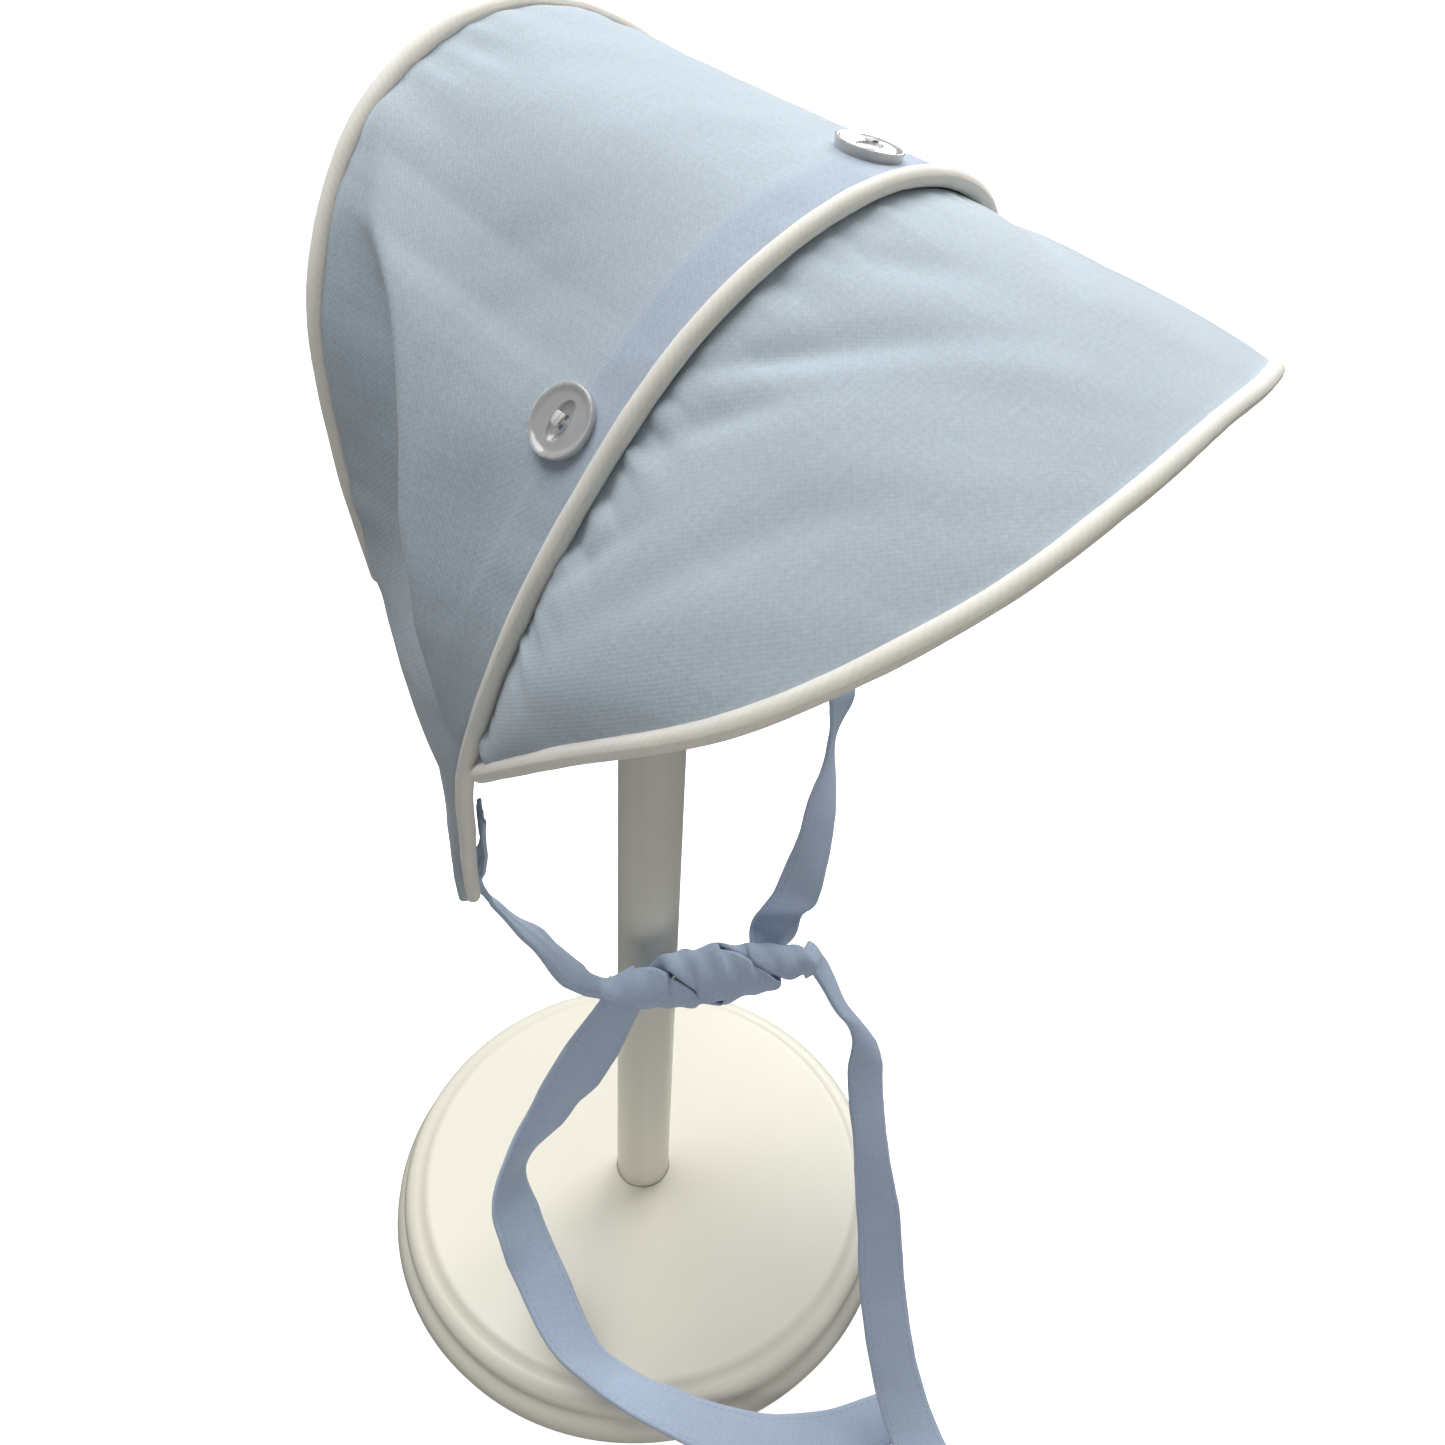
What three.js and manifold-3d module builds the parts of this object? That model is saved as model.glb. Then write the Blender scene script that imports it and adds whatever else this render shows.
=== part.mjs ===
// A baby's cotton bonnet on a painted wooden hat stand.
// Millimetres, +Z up. The origin is the centre of the stand's underside, on the table.
// The bonnet faces -Y, so the wearer's right is at -X.
import * as THREE from 'three';
import * as BufferGeometryUtils from 'three/addons/utils/BufferGeometryUtils.js';
import Module from 'manifold-3d';

// Clearance between pieces that touch in the real object
const gap = 0.3;

// Stand
const baseRadius = 76.2;
const baseHeight = 18.5;
const baseLipHeight = 11;
const baseLipRound = 5;
const baseStep = 3;
const baseTopInset = 10.2;
const postRadius = 7.9;
const postSink = 9;
const headRadius = 32;
const headDomeRadius = 40;
const headSkirt = 7;
const headSocketDepth = 14;

// Cloth and trim
const clothWall = 1.2;
const pipingRadius = 1.55;

// Front edge of the crown: an arch from corner to corner
const cornerHeight = 166;
const cornerForward = -12;
const frontHalfWidth = 70;
const frontHeight = 152.5;
const frontReach = 55;

// Back edge of the crown: a horseshoe that leans back towards the top
const backFootHeight = 246;
const backTopForward = -34;
const backHalfWidth = 56;
const backHeight = 86;
const backLean = 12.5;
const backPanelBulge = 8;
const backPanelDip = 8;

// Neck edge, from a front corner up to the foot of the horseshoe
const cornerStrip = 4.7;
const neckBow = 7.3;

// Brim
const brimHalfWidth = 82.5;
const brimReach = 56.5;
const brimDrop = 20;
const brimSwell = 0.6;
const flapDepth = 15;

// Crown cloth: outward swell, the deep fold beside the horseshoe and the smaller dents
const crownSwell = 2.5;
const foldHeight = 5;
const foldSpread = 0.18;
const foldValley = 0.8;
const dentDepth = 1.2;

// Buttons
const buttonRadius = 5.7;
const buttonHeight = 3;
const buttonRim = 1.4;
const buttonDish = 0.5;
const buttonEyeLength = 3.4;
const buttonEyeWidth = 1.9;
const buttonEyeDepth = 1;
const buttonHoleRadius = 0.6;
const buttonHoleSpread = 1.1;
const buttonSetBack = 7.5;
const buttonSideShare = 0.345;
const buttonTopShare = 0.52;

// Ties
const tieWidth = 15;
const tieWall = 1.1;
const tiePeek = 2.8;
const tieSewShare = 0.065;
const tieGather = 0.35;
const knotHeight = 125;
const knotLength = 53;
const knotHeading = -38.6;
const knotSlide = 12;
const knotWrap = 123;
const knotStart = -50;
const knotTurn = 430;
const knotClearance = 2;
const knotEndShare = 0.45;

// Places worked out from the sizes above
const right = -1;
const left = 1;
const edgeInset = pipingRadius + gap;
const brimInset = edgeInset + gap + clothWall / 2;
const knotRadius = tieWidth / THREE.MathUtils.degToRad(knotWrap);
const knotStandOff = postRadius + knotRadius + tieWall / 2 + knotClearance;

const colors = {
  cotton: 0xa9bedb,
  piping: 0xe9e1dc,
  paint: 0xdedbd2,
  button: 0xb4bdc9,
};

// A point of the bonnet: toSide is + to the wearer's left
function place(toSide, forward, up) {
  return new THREE.Vector3(toSide, -forward, up);
}

function blend(a, b, share) {
  return a + (b - a) * share;
}

// 0 at or below from, 1 at or above to, with a soft start and end
function ease(from, to, value) {
  return THREE.MathUtils.smoothstep(value, from, to);
}

// Smooth curve through rows on the wearer's right, mirrored over the top to the left
function archCurve(rows, rowPoint) {
  const rightSide = rows.map((row) => rowPoint(row, right));
  const leftSide = rows.slice(0, -1).reverse().map((row) => rowPoint(row, left));
  return new THREE.CatmullRomCurve3([...rightSide, ...leftSide]);
}

// Front edge, corner to top, as shares of its reach, half width and height
const frontRows = [
  { forward: 0, side: 0.66, rise: 0 },
  { forward: 0.33, side: 0.87, rise: 0.257 },
  { forward: 0.58, side: 1, rise: 0.477 },
  { forward: 0.8, side: 0.915, rise: 0.716 },
  { forward: 0.953, side: 0.57, rise: 0.926 },
  { forward: 1, side: 0, rise: 1 },
];
const frontEdge = archCurve(frontRows, (row, side) => place(
  side * row.side * frontHalfWidth,
  cornerForward + row.forward * frontReach,
  cornerHeight + row.rise * frontHeight,
));

// Back edge, foot to top, as shares of its lean, half width and height
const backRows = [
  { forward: 1, side: 0.93, rise: 0 },
  { forward: 0.94, side: 1, rise: 0.312 },
  { forward: 0.69, side: 0.966, rise: 0.598 },
  { forward: 0.34, side: 0.726, rise: 0.829 },
  { forward: 0.09, side: 0.377, rise: 0.958 },
  { forward: 0, side: 0, rise: 1 },
];
const backEdge = archCurve(backRows, (row, side) => place(
  side * row.side * backHalfWidth,
  backTopForward + row.forward * backLean,
  backFootHeight + row.rise * backHeight,
));

// Share of the front edge, from a corner, that faces the neck edge and not the horseshoe
const neckShare = 0.2;
const neckRows = [
  { rise: 0, bow: 0 },
  { rise: 0.25, bow: 0.42 },
  { rise: 0.48, bow: 0.9 },
  { rise: 0.63, bow: 1 },
  { rise: 0.75, bow: 0.8 },
  { rise: 0.87, bow: 0.3 },
  { rise: 1, bow: 0 },
];

function neckCurve(side) {
  const corner = frontEdge.getPoint(side === right ? 0 : 1);
  const foot = backEdge.getPoint(side === right ? 0 : 1);
  corner.y += cornerStrip;
  return new THREE.CatmullRomCurve3(neckRows.map((row) => {
    const point = corner.clone().lerp(foot, row.rise);
    point.y -= row.bow * neckBow;
    return point;
  }));
}
const neckRight = neckCurve(right);
const neckLeft = neckCurve(left);

// Rear edge of the crown across from the right corner (0) over the top to the left (1)
function rearPoint(across) {
  if (across < neckShare) return neckRight.getPoint(across / neckShare);
  if (across > 1 - neckShare) return neckLeft.getPoint((1 - across) / neckShare);
  return backEdge.getPoint((across - neckShare) / (1 - 2 * neckShare));
}

// The deep fold on each side: where its ridge lies from the rear edge (0) to the front (1)
const foldRows = [
  { across: 0.17, ridge: 0.86, height: 0 },
  { across: 0.205, ridge: 0.82, height: 0.25 },
  { across: 0.225, ridge: 0.76, height: 0.5 },
  { across: 0.25, ridge: 0.62, height: 0.9 },
  { across: 0.3, ridge: 0.5, height: 1 },
  { across: 0.32, ridge: 0.43, height: 1 },
  { across: 0.34, ridge: 0.35, height: 0.9 },
  { across: 0.355, ridge: 0.27, height: 0.6 },
  { across: 0.38, ridge: 0.2, height: 0 },
];

// Small dents beside the horseshoe's piping, near the top
const dentRows = [
  { across: 0.41, along: 0.12, wide: 0.012, long: 0.14, depth: 0.7 },
  { across: 0.45, along: 0.1, wide: 0.01, long: 0.1, depth: 1 },
  { across: 0.56, along: 0.12, wide: 0.012, long: 0.12, depth: 0.8 },
  { across: 0.3, along: 0.62, wide: 0.03, long: 0.16, depth: 0.5 },
  { across: 0.68, along: 0.55, wide: 0.03, long: 0.2, depth: 0.5 },
];

function foldOffset(across, along) {
  const fromCorner = Math.min(across, 1 - across);
  const next = foldRows.findIndex((row) => row.across > fromCorner);
  if (next < 1) return 0;
  const low = foldRows[next - 1];
  const high = foldRows[next];
  const share = (fromCorner - low.across) / (high.across - low.across);
  const ridge = blend(low.ridge, high.ridge, share);
  const height = foldHeight * blend(low.height, high.height, share);
  const rise = Math.exp(-(((along - ridge) / foldSpread) ** 2));
  const valley = Math.exp(-(((along - ridge / 2) / foldSpread) ** 2));
  const seams = Math.sin(Math.PI * along) ** 0.5;
  return height * seams * (rise - foldValley * valley);
}

function dentOffset(across, along) {
  let depth = 0;
  for (const row of dentRows) {
    const aside = (across - row.across) / row.wide;
    const back = (along - row.along) / row.long;
    depth -= dentDepth * row.depth * Math.exp(-aside * aside - back * back);
  }
  return depth;
}

function surfaceNormal(pointAt, u, v) {
  const step = 0.004;
  const du = pointAt(Math.min(u + step, 1), v).sub(pointAt(Math.max(u - step, 0), v));
  const dv = pointAt(u, Math.min(v + step, 1)).sub(pointAt(u, Math.max(v - step, 0)));
  return du.cross(dv).normalize();
}

// The crown before its folds, straight from the rear edge to the front edge
function crownBase(along, across) {
  return rearPoint(across).lerp(frontEdge.getPoint(across), along);
}

// Outward direction of the crown
function crownNormal(along, across) {
  return surfaceNormal(crownBase, along, across);
}

// Middle of the crown's cloth, along 0 at the rear edge to 1 at the front edge
function crownPoint(along, across) {
  const swell = crownSwell * Math.sin(Math.PI * along) * (1 - 1.3 * Math.sin(Math.PI * across) ** 4);
  const offset = swell + foldOffset(across, along) + dentOffset(across, along);
  return crownBase(along, across).addScaledVector(crownNormal(along, across), offset);
}

// A closed geometry from points and triangles: shared points joined, faces out
function closedGeometry(positions, triangles) {
  const loose = new THREE.BufferGeometry();
  loose.setAttribute('position', new THREE.Float32BufferAttribute(positions, 3));
  loose.setIndex(triangles);
  const geometry = BufferGeometryUtils.mergeVertices(loose, 1e-4);
  const source = geometry.index.array;
  const index = [];
  for (let i = 0; i < source.length; i += 3) {
    const [a, b, c] = [source[i], source[i + 1], source[i + 2]];
    if (a !== b && b !== c && c !== a) index.push(a, b, c);
  }
  geometry.setIndex(index);
  if (signedVolume(geometry) < 0) geometry.setIndex(index.slice().reverse());
  geometry.computeVertexNormals();
  return geometry;
}

function signedVolume(geometry) {
  const position = geometry.getAttribute('position');
  const index = geometry.index.array;
  const corners = [new THREE.Vector3(), new THREE.Vector3(), new THREE.Vector3()];
  let volume = 0;
  for (let i = 0; i < index.length; i += 3) {
    corners.forEach((corner, j) => corner.fromBufferAttribute(position, index[i + j]));
    volume += corners[0].dot(corners[1].cross(corners[2])) / 6;
  }
  return volume;
}

// A closed wall between two grids of points: faces[side][row][column]
function wallGeometry(faces) {
  const rows = faces[0].length - 1;
  const columns = faces[0][0].length - 1;
  const at = (side, row, column) => (side * (rows + 1) + row) * (columns + 1) + column;
  const triangles = [];
  const quad = (a, b, c, d) => triangles.push(a, b, c, a, c, d);
  for (let row = 0; row < rows; row += 1) {
    for (let column = 0; column < columns; column += 1) {
      const [r, c] = [row + 1, column + 1];
      quad(at(0, row, column), at(0, row, c), at(0, r, c), at(0, r, column));
      quad(at(1, row, column), at(1, r, column), at(1, r, c), at(1, row, c));
    }
    quad(at(0, row, 0), at(0, row + 1, 0), at(1, row + 1, 0), at(1, row, 0));
    quad(at(0, row + 1, columns), at(0, row, columns),
      at(1, row, columns), at(1, row + 1, columns));
  }
  for (let column = 0; column < columns; column += 1) {
    quad(at(0, 0, column + 1), at(0, 0, column), at(1, 0, column), at(1, 0, column + 1));
    quad(at(0, rows, column), at(0, rows, column + 1),
      at(1, rows, column + 1), at(1, rows, column));
  }
  return closedGeometry(faces.flat(2).flatMap((point) => point.toArray()), triangles);
}

// A cloth wall either side of a surface, where pointAt and normalAt take two shares
function clothGeometry(pointAt, normalAt, rows, columns) {
  const faces = [1, -1].map((side) => Array.from({ length: rows + 1 }, (_, row) => (
    Array.from({ length: columns + 1 }, (__, column) => {
      const shares = [row / rows, column / columns];
      return pointAt(...shares).addScaledVector(normalAt(...shares), side * clothWall / 2);
    })
  )));
  return wallGeometry(faces);
}

// How far cloth that runs along a line stops from a piping, more where it meets it at a slant
function slantInset(line, tangent) {
  return edgeInset / line.clone().normalize().cross(tangent).length();
}

// Crown: its cloth stops short of both pipings
function crownGeometry() {
  const span = (along, across) => {
    const line = frontEdge.getPoint(across).sub(rearPoint(across));
    const fromCorner = Math.min(across, 1 - across);
    const backShare = THREE.MathUtils.clamp((across - neckShare) / (1 - 2 * neckShare), 0, 1);
    const rearInset = slantInset(line, backEdge.getTangent(backShare))
      * ease(neckShare - 0.05, neckShare - 0.01, fromCorner);
    const frontInset = slantInset(line, frontEdge.getTangent(across));
    return blend(rearInset / line.length(), 1 - frontInset / line.length(), along);
  };
  const point = (along, across) => crownPoint(span(along, across), across);
  const normal = (along, across) => surfaceNormal(crownPoint, span(along, across), across);
  return clothGeometry(point, normal, 12, 48);
}

// Back panel: a fan from the middle of its lower edge out to the horseshoe
function backPanelGeometry() {
  const foot = backEdge.getPoint(0).lerp(backEdge.getPoint(1), 0.5);
  const hub = foot.clone();
  hub.z -= backPanelDip;
  const lean = backEdge.getPoint(0.5).sub(foot);
  const backward = lean.cross(new THREE.Vector3(1, 0, 0)).normalize();
  const point = (out, across) => {
    const edge = backEdge.getPoint(across);
    const line = edge.clone().sub(hub);
    const share = out * (1 - slantInset(line, backEdge.getTangent(across)) / line.length());
    const bulge = backPanelBulge * Math.sin(Math.PI * across) * share * (1 - share ** 2) * 2.6;
    return hub.clone().lerp(edge, share).addScaledVector(backward, bulge);
  };
  return clothGeometry(point, () => backward, 6, 20);
}

// Outer edge of the brim, corner to middle, as shares of its reach, half width and drop
const brimRows = [
  { forward: 0.36, side: 0.95, rise: 0.39 },
  { forward: 0.7, side: 0.9, rise: 0.67 },
  { forward: 0.907, side: 0.63, rise: 0.86 },
  { forward: 0.985, side: 0.31, rise: 0.966 },
  { forward: 1, side: 0, rise: 1 },
];

// The brim's corners butt the front piping
function brimCorner(side) {
  const corner = frontEdge.getPoint(side === right ? neckShare : 1 - neckShare);
  corner.y -= 2 * edgeInset;
  return corner;
}

function brimEdgeCurve() {
  const corner = brimCorner(right);
  const tipUp = cornerHeight + frontHeight - brimDrop;
  const tipForward = cornerForward + frontReach + brimReach;
  const rowPoint = (row, side) => place(
    side * row.side * brimHalfWidth,
    blend(-corner.y, tipForward, row.forward),
    blend(corner.z, tipUp, row.rise),
  );
  const rightSide = brimRows.map((row) => rowPoint(row, right));
  const leftSide = brimRows.slice(0, -1).reverse().map((row) => rowPoint(row, left));
  return new THREE.CatmullRomCurve3([corner, ...rightSide, ...leftSide, brimCorner(left)]);
}
const brimEdge = brimEdgeCurve();

// Where the brim passes under the front piping, deeper where it leans out more
function brimRoot(across) {
  const edgeShare = blend(neckShare, 1 - neckShare, across);
  const root = frontEdge.getPoint(edgeShare);
  const inward = crownNormal(1, edgeShare).negate();
  const tangent = frontEdge.getTangent(edgeShare);
  const outward = brimEdge.getPoint(across).sub(root).projectOnPlane(tangent).normalize();
  const lean = outward.dot(inward);
  return root.addScaledVector(inward, brimInset / Math.sqrt(1 - lean * lean));
}

// Middle of the brim's cloth: out 0 at the flap's rear edge to 1 at the brim piping
function brimPoint(out, across) {
  const edgeShare = blend(neckShare, 1 - neckShare, across);
  const root = brimRoot(across);
  const edge = brimEdge.getPoint(across);
  const line = edge.clone().sub(root);
  const inset = slantInset(line, brimEdge.getTangent(across));
  if (out < flapShare) {
    const back = rearPoint(edgeShare).sub(frontEdge.getPoint(edgeShare)).normalize();
    const tuck = 1 - out / flapShare;
    return root.addScaledVector(back, flapDepth * tuck);
  }
  const share = (out - flapShare) / (1 - flapShare);
  const point = root.lerp(edge, share * (1 - inset / line.length()));
  point.z += brimSwell * Math.sin(Math.PI * share) * Math.sin(Math.PI * across);
  return point;
}
const flapShare = 0.25;

function brimGeometry() {
  return clothGeometry(brimPoint, (out, across) => surfaceNormal(brimPoint, out, across), 12, 32);
}

// A piping: a cord with eight sides along an edge, between two shares of it
function pipingGeometry(edge, from, to, steps) {
  const points = Array.from({ length: steps + 1 }, (_, i) => edge.getPoint(blend(from, to, i / steps)));
  const section = new THREE.Shape();
  for (let i = 0; i < 8; i += 1) {
    const turn = (i + 0.5) * Math.PI / 4;
    const corner = [pipingRadius * Math.cos(turn), pipingRadius * Math.sin(turn)];
    if (i === 0) section.moveTo(...corner);
    else section.lineTo(...corner);
  }
  return new THREE.ExtrudeGeometry(section, {
    extrudePath: new THREE.CatmullRomCurve3(points),
    steps,
    bevelEnabled: false,
  });
}

const wasm = await Module();
wasm.setup();

function solidOf(geometry) {
  const bare = geometry.clone();
  bare.deleteAttribute('normal');
  bare.deleteAttribute('uv');
  const merged = BufferGeometryUtils.mergeVertices(bare, 1e-4);
  return new wasm.Manifold(new wasm.Mesh({
    numProp: 3,
    vertProperties: merged.getAttribute('position').array,
    triVerts: new Uint32Array(merged.index.array),
  }));
}

function geometryOf(solid) {
  const mesh = solid.getMesh();
  const geometry = new THREE.BufferGeometry();
  geometry.setAttribute('position', new THREE.BufferAttribute(mesh.vertProperties, 3));
  geometry.setIndex(new THREE.BufferAttribute(mesh.triVerts, 1));
  geometry.computeVertexNormals();
  return geometry;
}

// A fish-eye button, its back on z = 0: low rim, and a long hollow with two thread holes
function buttonGeometry() {
  const profile = [
    [0, 0],
    [0.84 * buttonRadius, 0],
    [buttonRadius, 0.28 * buttonHeight],
    [buttonRadius, 0.78 * buttonHeight],
    [buttonRadius - 0.25 * buttonRim, buttonHeight],
    [buttonRadius - 0.7 * buttonRim, buttonHeight - 0.3 * buttonDish],
    [buttonRadius - buttonRim, buttonHeight - buttonDish],
    [0, buttonHeight - buttonDish],
  ].map(([radius, height]) => new THREE.Vector2(radius, height));
  const disc = new THREE.LatheGeometry(profile, 16).rotateX(Math.PI / 2);
  const eye = new THREE.SphereGeometry(1, 12, 6).rotateX(Math.PI / 2);
  eye.scale(buttonEyeLength, buttonEyeWidth, buttonEyeDepth);
  eye.translate(0, 0, buttonHeight - buttonDish + 0.1 * buttonEyeDepth);
  let solid = solidOf(disc).subtract(solidOf(eye));
  for (const side of [-1, 1]) {
    const hole = new THREE.CylinderGeometry(buttonHoleRadius, buttonHoleRadius, 3 * buttonHeight, 6);
    hole.rotateX(Math.PI / 2);
    hole.translate(side * buttonHoleSpread, 0, 0);
    solid = solid.subtract(solidOf(hole));
  }
  return geometryOf(solid);
}

// A button lies on the crown just behind the front piping, its hollow along the piping
function placeButton(mesh, across) {
  const length = rearPoint(across).distanceTo(frontEdge.getPoint(across));
  const along = 1 - (buttonSetBack + pipingRadius) / length;
  const normal = surfaceNormal(crownPoint, along, across);
  const point = crownPoint(along, across).addScaledVector(normal, clothWall / 2 + gap);
  const edgeways = frontEdge.getTangent(across).projectOnPlane(normal).normalize();
  const turned = new THREE.Matrix4().makeBasis(edgeways, normal.clone().cross(edgeways), normal);
  mesh.quaternion.setFromRotationMatrix(turned);
  mesh.position.copy(point);
}

// Knot: both ties curl round one line in front of the post, on opposite sides of it
const heading = THREE.MathUtils.degToRad(knotHeading);
const knotAxis = new THREE.Vector3(Math.cos(heading), Math.sin(heading), 0);
const knotFront = new THREE.Vector3(knotAxis.y, -knotAxis.x, 0);
const knotMiddle = knotFront.clone().multiplyScalar(knotStandOff)
  .addScaledVector(knotAxis, knotSlide);
knotMiddle.z = knotHeight;
const knotFace = knotFront.clone().multiplyScalar(0.64).add(new THREE.Vector3(0, 0, 0.77)).normalize();
const knotUnder = knotAxis.clone().cross(knotFace);

// A station of a tie inside the knot: share 0 at its right end, 1 at its left
function knotStation(share, phase, flip) {
  const turn = THREE.MathUtils.degToRad(knotStart + knotTurn * share + phase);
  const out = knotFace.clone().multiplyScalar(Math.cos(turn))
    .addScaledVector(knotUnder, Math.sin(turn));
  const width = knotFace.clone().multiplyScalar(-Math.sin(turn))
    .addScaledVector(knotUnder, Math.cos(turn)).multiplyScalar(flip);
  const taper = knotEndShare + (1 - knotEndShare) * Math.sin(Math.PI * share);
  const point = knotMiddle.clone()
    .addScaledVector(knotAxis, (share - 0.5) * knotLength)
    .addScaledVector(out, knotRadius * taper);
  return { point, width, wide: taper, curl: knotWrap };
}

// A station outside the knot. Its width points along a compass heading, dipping down
function tieStation(point, row) {
  const swing = THREE.MathUtils.degToRad(row.swing);
  const dip = THREE.MathUtils.degToRad(row.dip);
  const width = new THREE.Vector3(
    Math.cos(dip) * Math.cos(swing),
    Math.cos(dip) * Math.sin(swing),
    -Math.sin(dip),
  );
  return { point, width, wide: row.wide ?? 1, curl: row.curl };
}

function knotEnd(share) {
  return knotMiddle.clone().addScaledVector(knotAxis, (share - 0.5) * knotLength);
}

// Upper stretch of a tie, as shares of the way from its corner to its end of the knot
function upperStations(rows, corner, end) {
  return rows.map((row) => tieStation(new THREE.Vector3(
    blend(corner.x, end.x, row.x),
    blend(corner.y, end.y, row.y),
    blend(corner.z, end.z, row.z),
  ), row));
}

// Free tail of a tie, as shares of the foot's radius and of the knot's height
function tailStations(rows) {
  return rows.map((row) => tieStation(new THREE.Vector3(
    row.x * baseRadius,
    row.y * baseRadius,
    row.z * knotHeight,
  ), row));
}

// A flat band through its stations, turned and curled from one to the next
function tieGeometry(stations, steps) {
  const route = new THREE.CatmullRomCurve3(stations.map((station) => station.point));
  const segments = 4;
  const faces = [1, -1].map(() => []);
  for (let step = 0; step <= steps; step += 1) {
    const share = step / steps;
    const reach = share * (stations.length - 1);
    const low = Math.min(Math.floor(reach), stations.length - 2);
    const between = ease(0, 1, reach - low);
    const width = stations[low].width.clone().lerp(stations[low + 1].width, between).normalize();
    const out = route.getTangent(share).cross(width).normalize();
    const curl = blend(stations[low].curl, stations[low + 1].curl, between);
    const wide = tieWidth * blend(stations[low].wide, stations[low + 1].wide, between);
    const bend = THREE.MathUtils.degToRad(curl) / wide;
    const middle = route.getPoint(share);
    const lines = [[], []];
    for (let i = 0; i <= segments; i += 1) {
      const turn = bend * wide * (i / segments - 0.5);
      const normal = out.clone().multiplyScalar(Math.cos(turn)).addScaledVector(width, Math.sin(turn));
      const point = middle.clone().addScaledVector(out, -1 / bend).addScaledVector(normal, 1 / bend);
      lines[0].push(point.clone().addScaledVector(normal, tieWall / 2));
      lines[1].push(point.clone().addScaledVector(normal, -tieWall / 2));
    }
    faces[0].push(lines[0]);
    faces[1].push(lines[1]);
  }
  return wallGeometry(faces);
}

// The tie on the wearer's right: corner to knot, then the tail at the picture's right
const rightUpperRows = [
  { x: 0.2, y: 0.15, z: 0.24, swing: 38, dip: 40, wide: 0.5, curl: 10 },
  { x: 0.46, y: 0.43, z: 0.48, swing: 25, dip: 30, wide: 0.7, curl: 20 },
  { x: 0.75, y: 0.82, z: 0.78, swing: 27, dip: 20, wide: 0.85, curl: 60 },
];
const rightTailRows = [
  { x: 0.335, y: -0.5, z: 0.965, swing: 15, dip: 36, curl: 90 },
  { x: 0.328, y: -0.614, z: 0.88, swing: 16, dip: 43, curl: 50 },
  { x: 0.346, y: -0.72, z: 0.8, swing: -17, dip: 47, curl: 30 },
  { x: 0.3, y: -0.764, z: 0.73, swing: -21, dip: 33, curl: 20 },
  { x: 0.215, y: -0.874, z: 0.584, swing: -18, dip: 33, curl: 15 },
  { x: 0.167, y: -0.97, z: 0.432, swing: -38, dip: 28, curl: 10 },
  { x: 0.068, y: -1.09, z: 0.28, swing: -35, dip: 21, curl: 10 },
  { x: -0.017, y: -1.203, z: 0.176, swing: -37, dip: 20, curl: 10 },
  { x: -0.077, y: -1.31, z: 0.095, swing: -42, dip: 14, curl: 10 },
  { x: -0.121, y: -1.405, z: 0.045, swing: -44, dip: 8, curl: 10 },
  { x: -0.16, y: -1.5, z: 0.02, swing: -44, dip: 3, curl: 5 },
];

// The tie on the wearer's left: forward under the brim, round the back of the knot, then
// the tail at the picture's left, over the foot and on to the table
const leftUpperRows = [
  { x: -0.5, y: 0.5, z: -0.42, swing: 5, dip: 40, wide: 0.7, curl: 10 },
  { x: -0.5, y: 0.602, z: -0.3, swing: 5, dip: 20, curl: 10 },
  { x: -0.383, y: 0.61, z: 0.049, swing: 23, dip: 20, curl: 10 },
  { x: 0.27, y: 0.773, z: 0.341, swing: -13, dip: 40, curl: 15 },
  { x: 0.79, y: 0.842, z: 0.683, swing: -31, dip: 31, curl: 40 },
  { x: 0.785, y: 0.737, z: 1.04, swing: -31, dip: 10, curl: 50 },
];
const leftTailRows = [
  { x: -0.217, y: -0.087, z: 0.92, swing: -26, dip: 46, curl: 60 },
  { x: -0.338, y: -0.014, z: 0.776, swing: -50, dip: 45, curl: 20 },
  { x: -0.454, y: 0.055, z: 0.632, swing: -20, dip: 28, curl: 10 },
  { x: -0.645, y: 0.067, z: 0.512, swing: 11, dip: 15, curl: 10 },
  { x: -0.691, y: -0.021, z: 0.44, swing: -1, dip: 16, curl: 10 },
  { x: -0.732, y: -0.172, z: 0.336, swing: -26, dip: 22, curl: 10 },
  { x: -0.773, y: -0.358, z: 0.248, swing: -29, dip: 28, curl: 10 },
  { x: -0.752, y: -0.484, z: 0.21, swing: -13, dip: 32, curl: 10 },
  { x: -0.698, y: -0.703, z: 0.19, swing: 3, dip: 24, curl: 10 },
  { x: -0.556, y: -0.957, z: 0.12, swing: 23, dip: 10, curl: 10 },
  { x: -0.36, y: -1.13, z: 0.05, swing: 27, dip: 4, curl: 8 },
  { x: -0.17, y: -1.25, z: 0.022, swing: 30, dip: 0, curl: 5 },
  { x: -0.09, y: -1.3, z: 0.016, swing: 30, dip: 0, curl: 5 },
];

// A station of a tie under the cloth at the front edge, from a corner (0) upwards
function sewnStation(side, share, turned) {
  const across = side === right ? share : 1 - share;
  const edge = frontEdge.getPoint(across);
  const inward = crownNormal(1, across).negate();
  const back = rearPoint(across).sub(edge).normalize();
  const width = back.clone();
  if (turned) width.crossVectors(inward, back);
  const point = edge.addScaledVector(inward, edgeInset + tieWall)
    .addScaledVector(back, tieGather * tieWidth / 2 - tiePeek);
  return { point, width, wide: tieGather, curl: 5 };
}

function tieCorner(side) {
  return sewnStation(side, 0, false).point;
}

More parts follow.
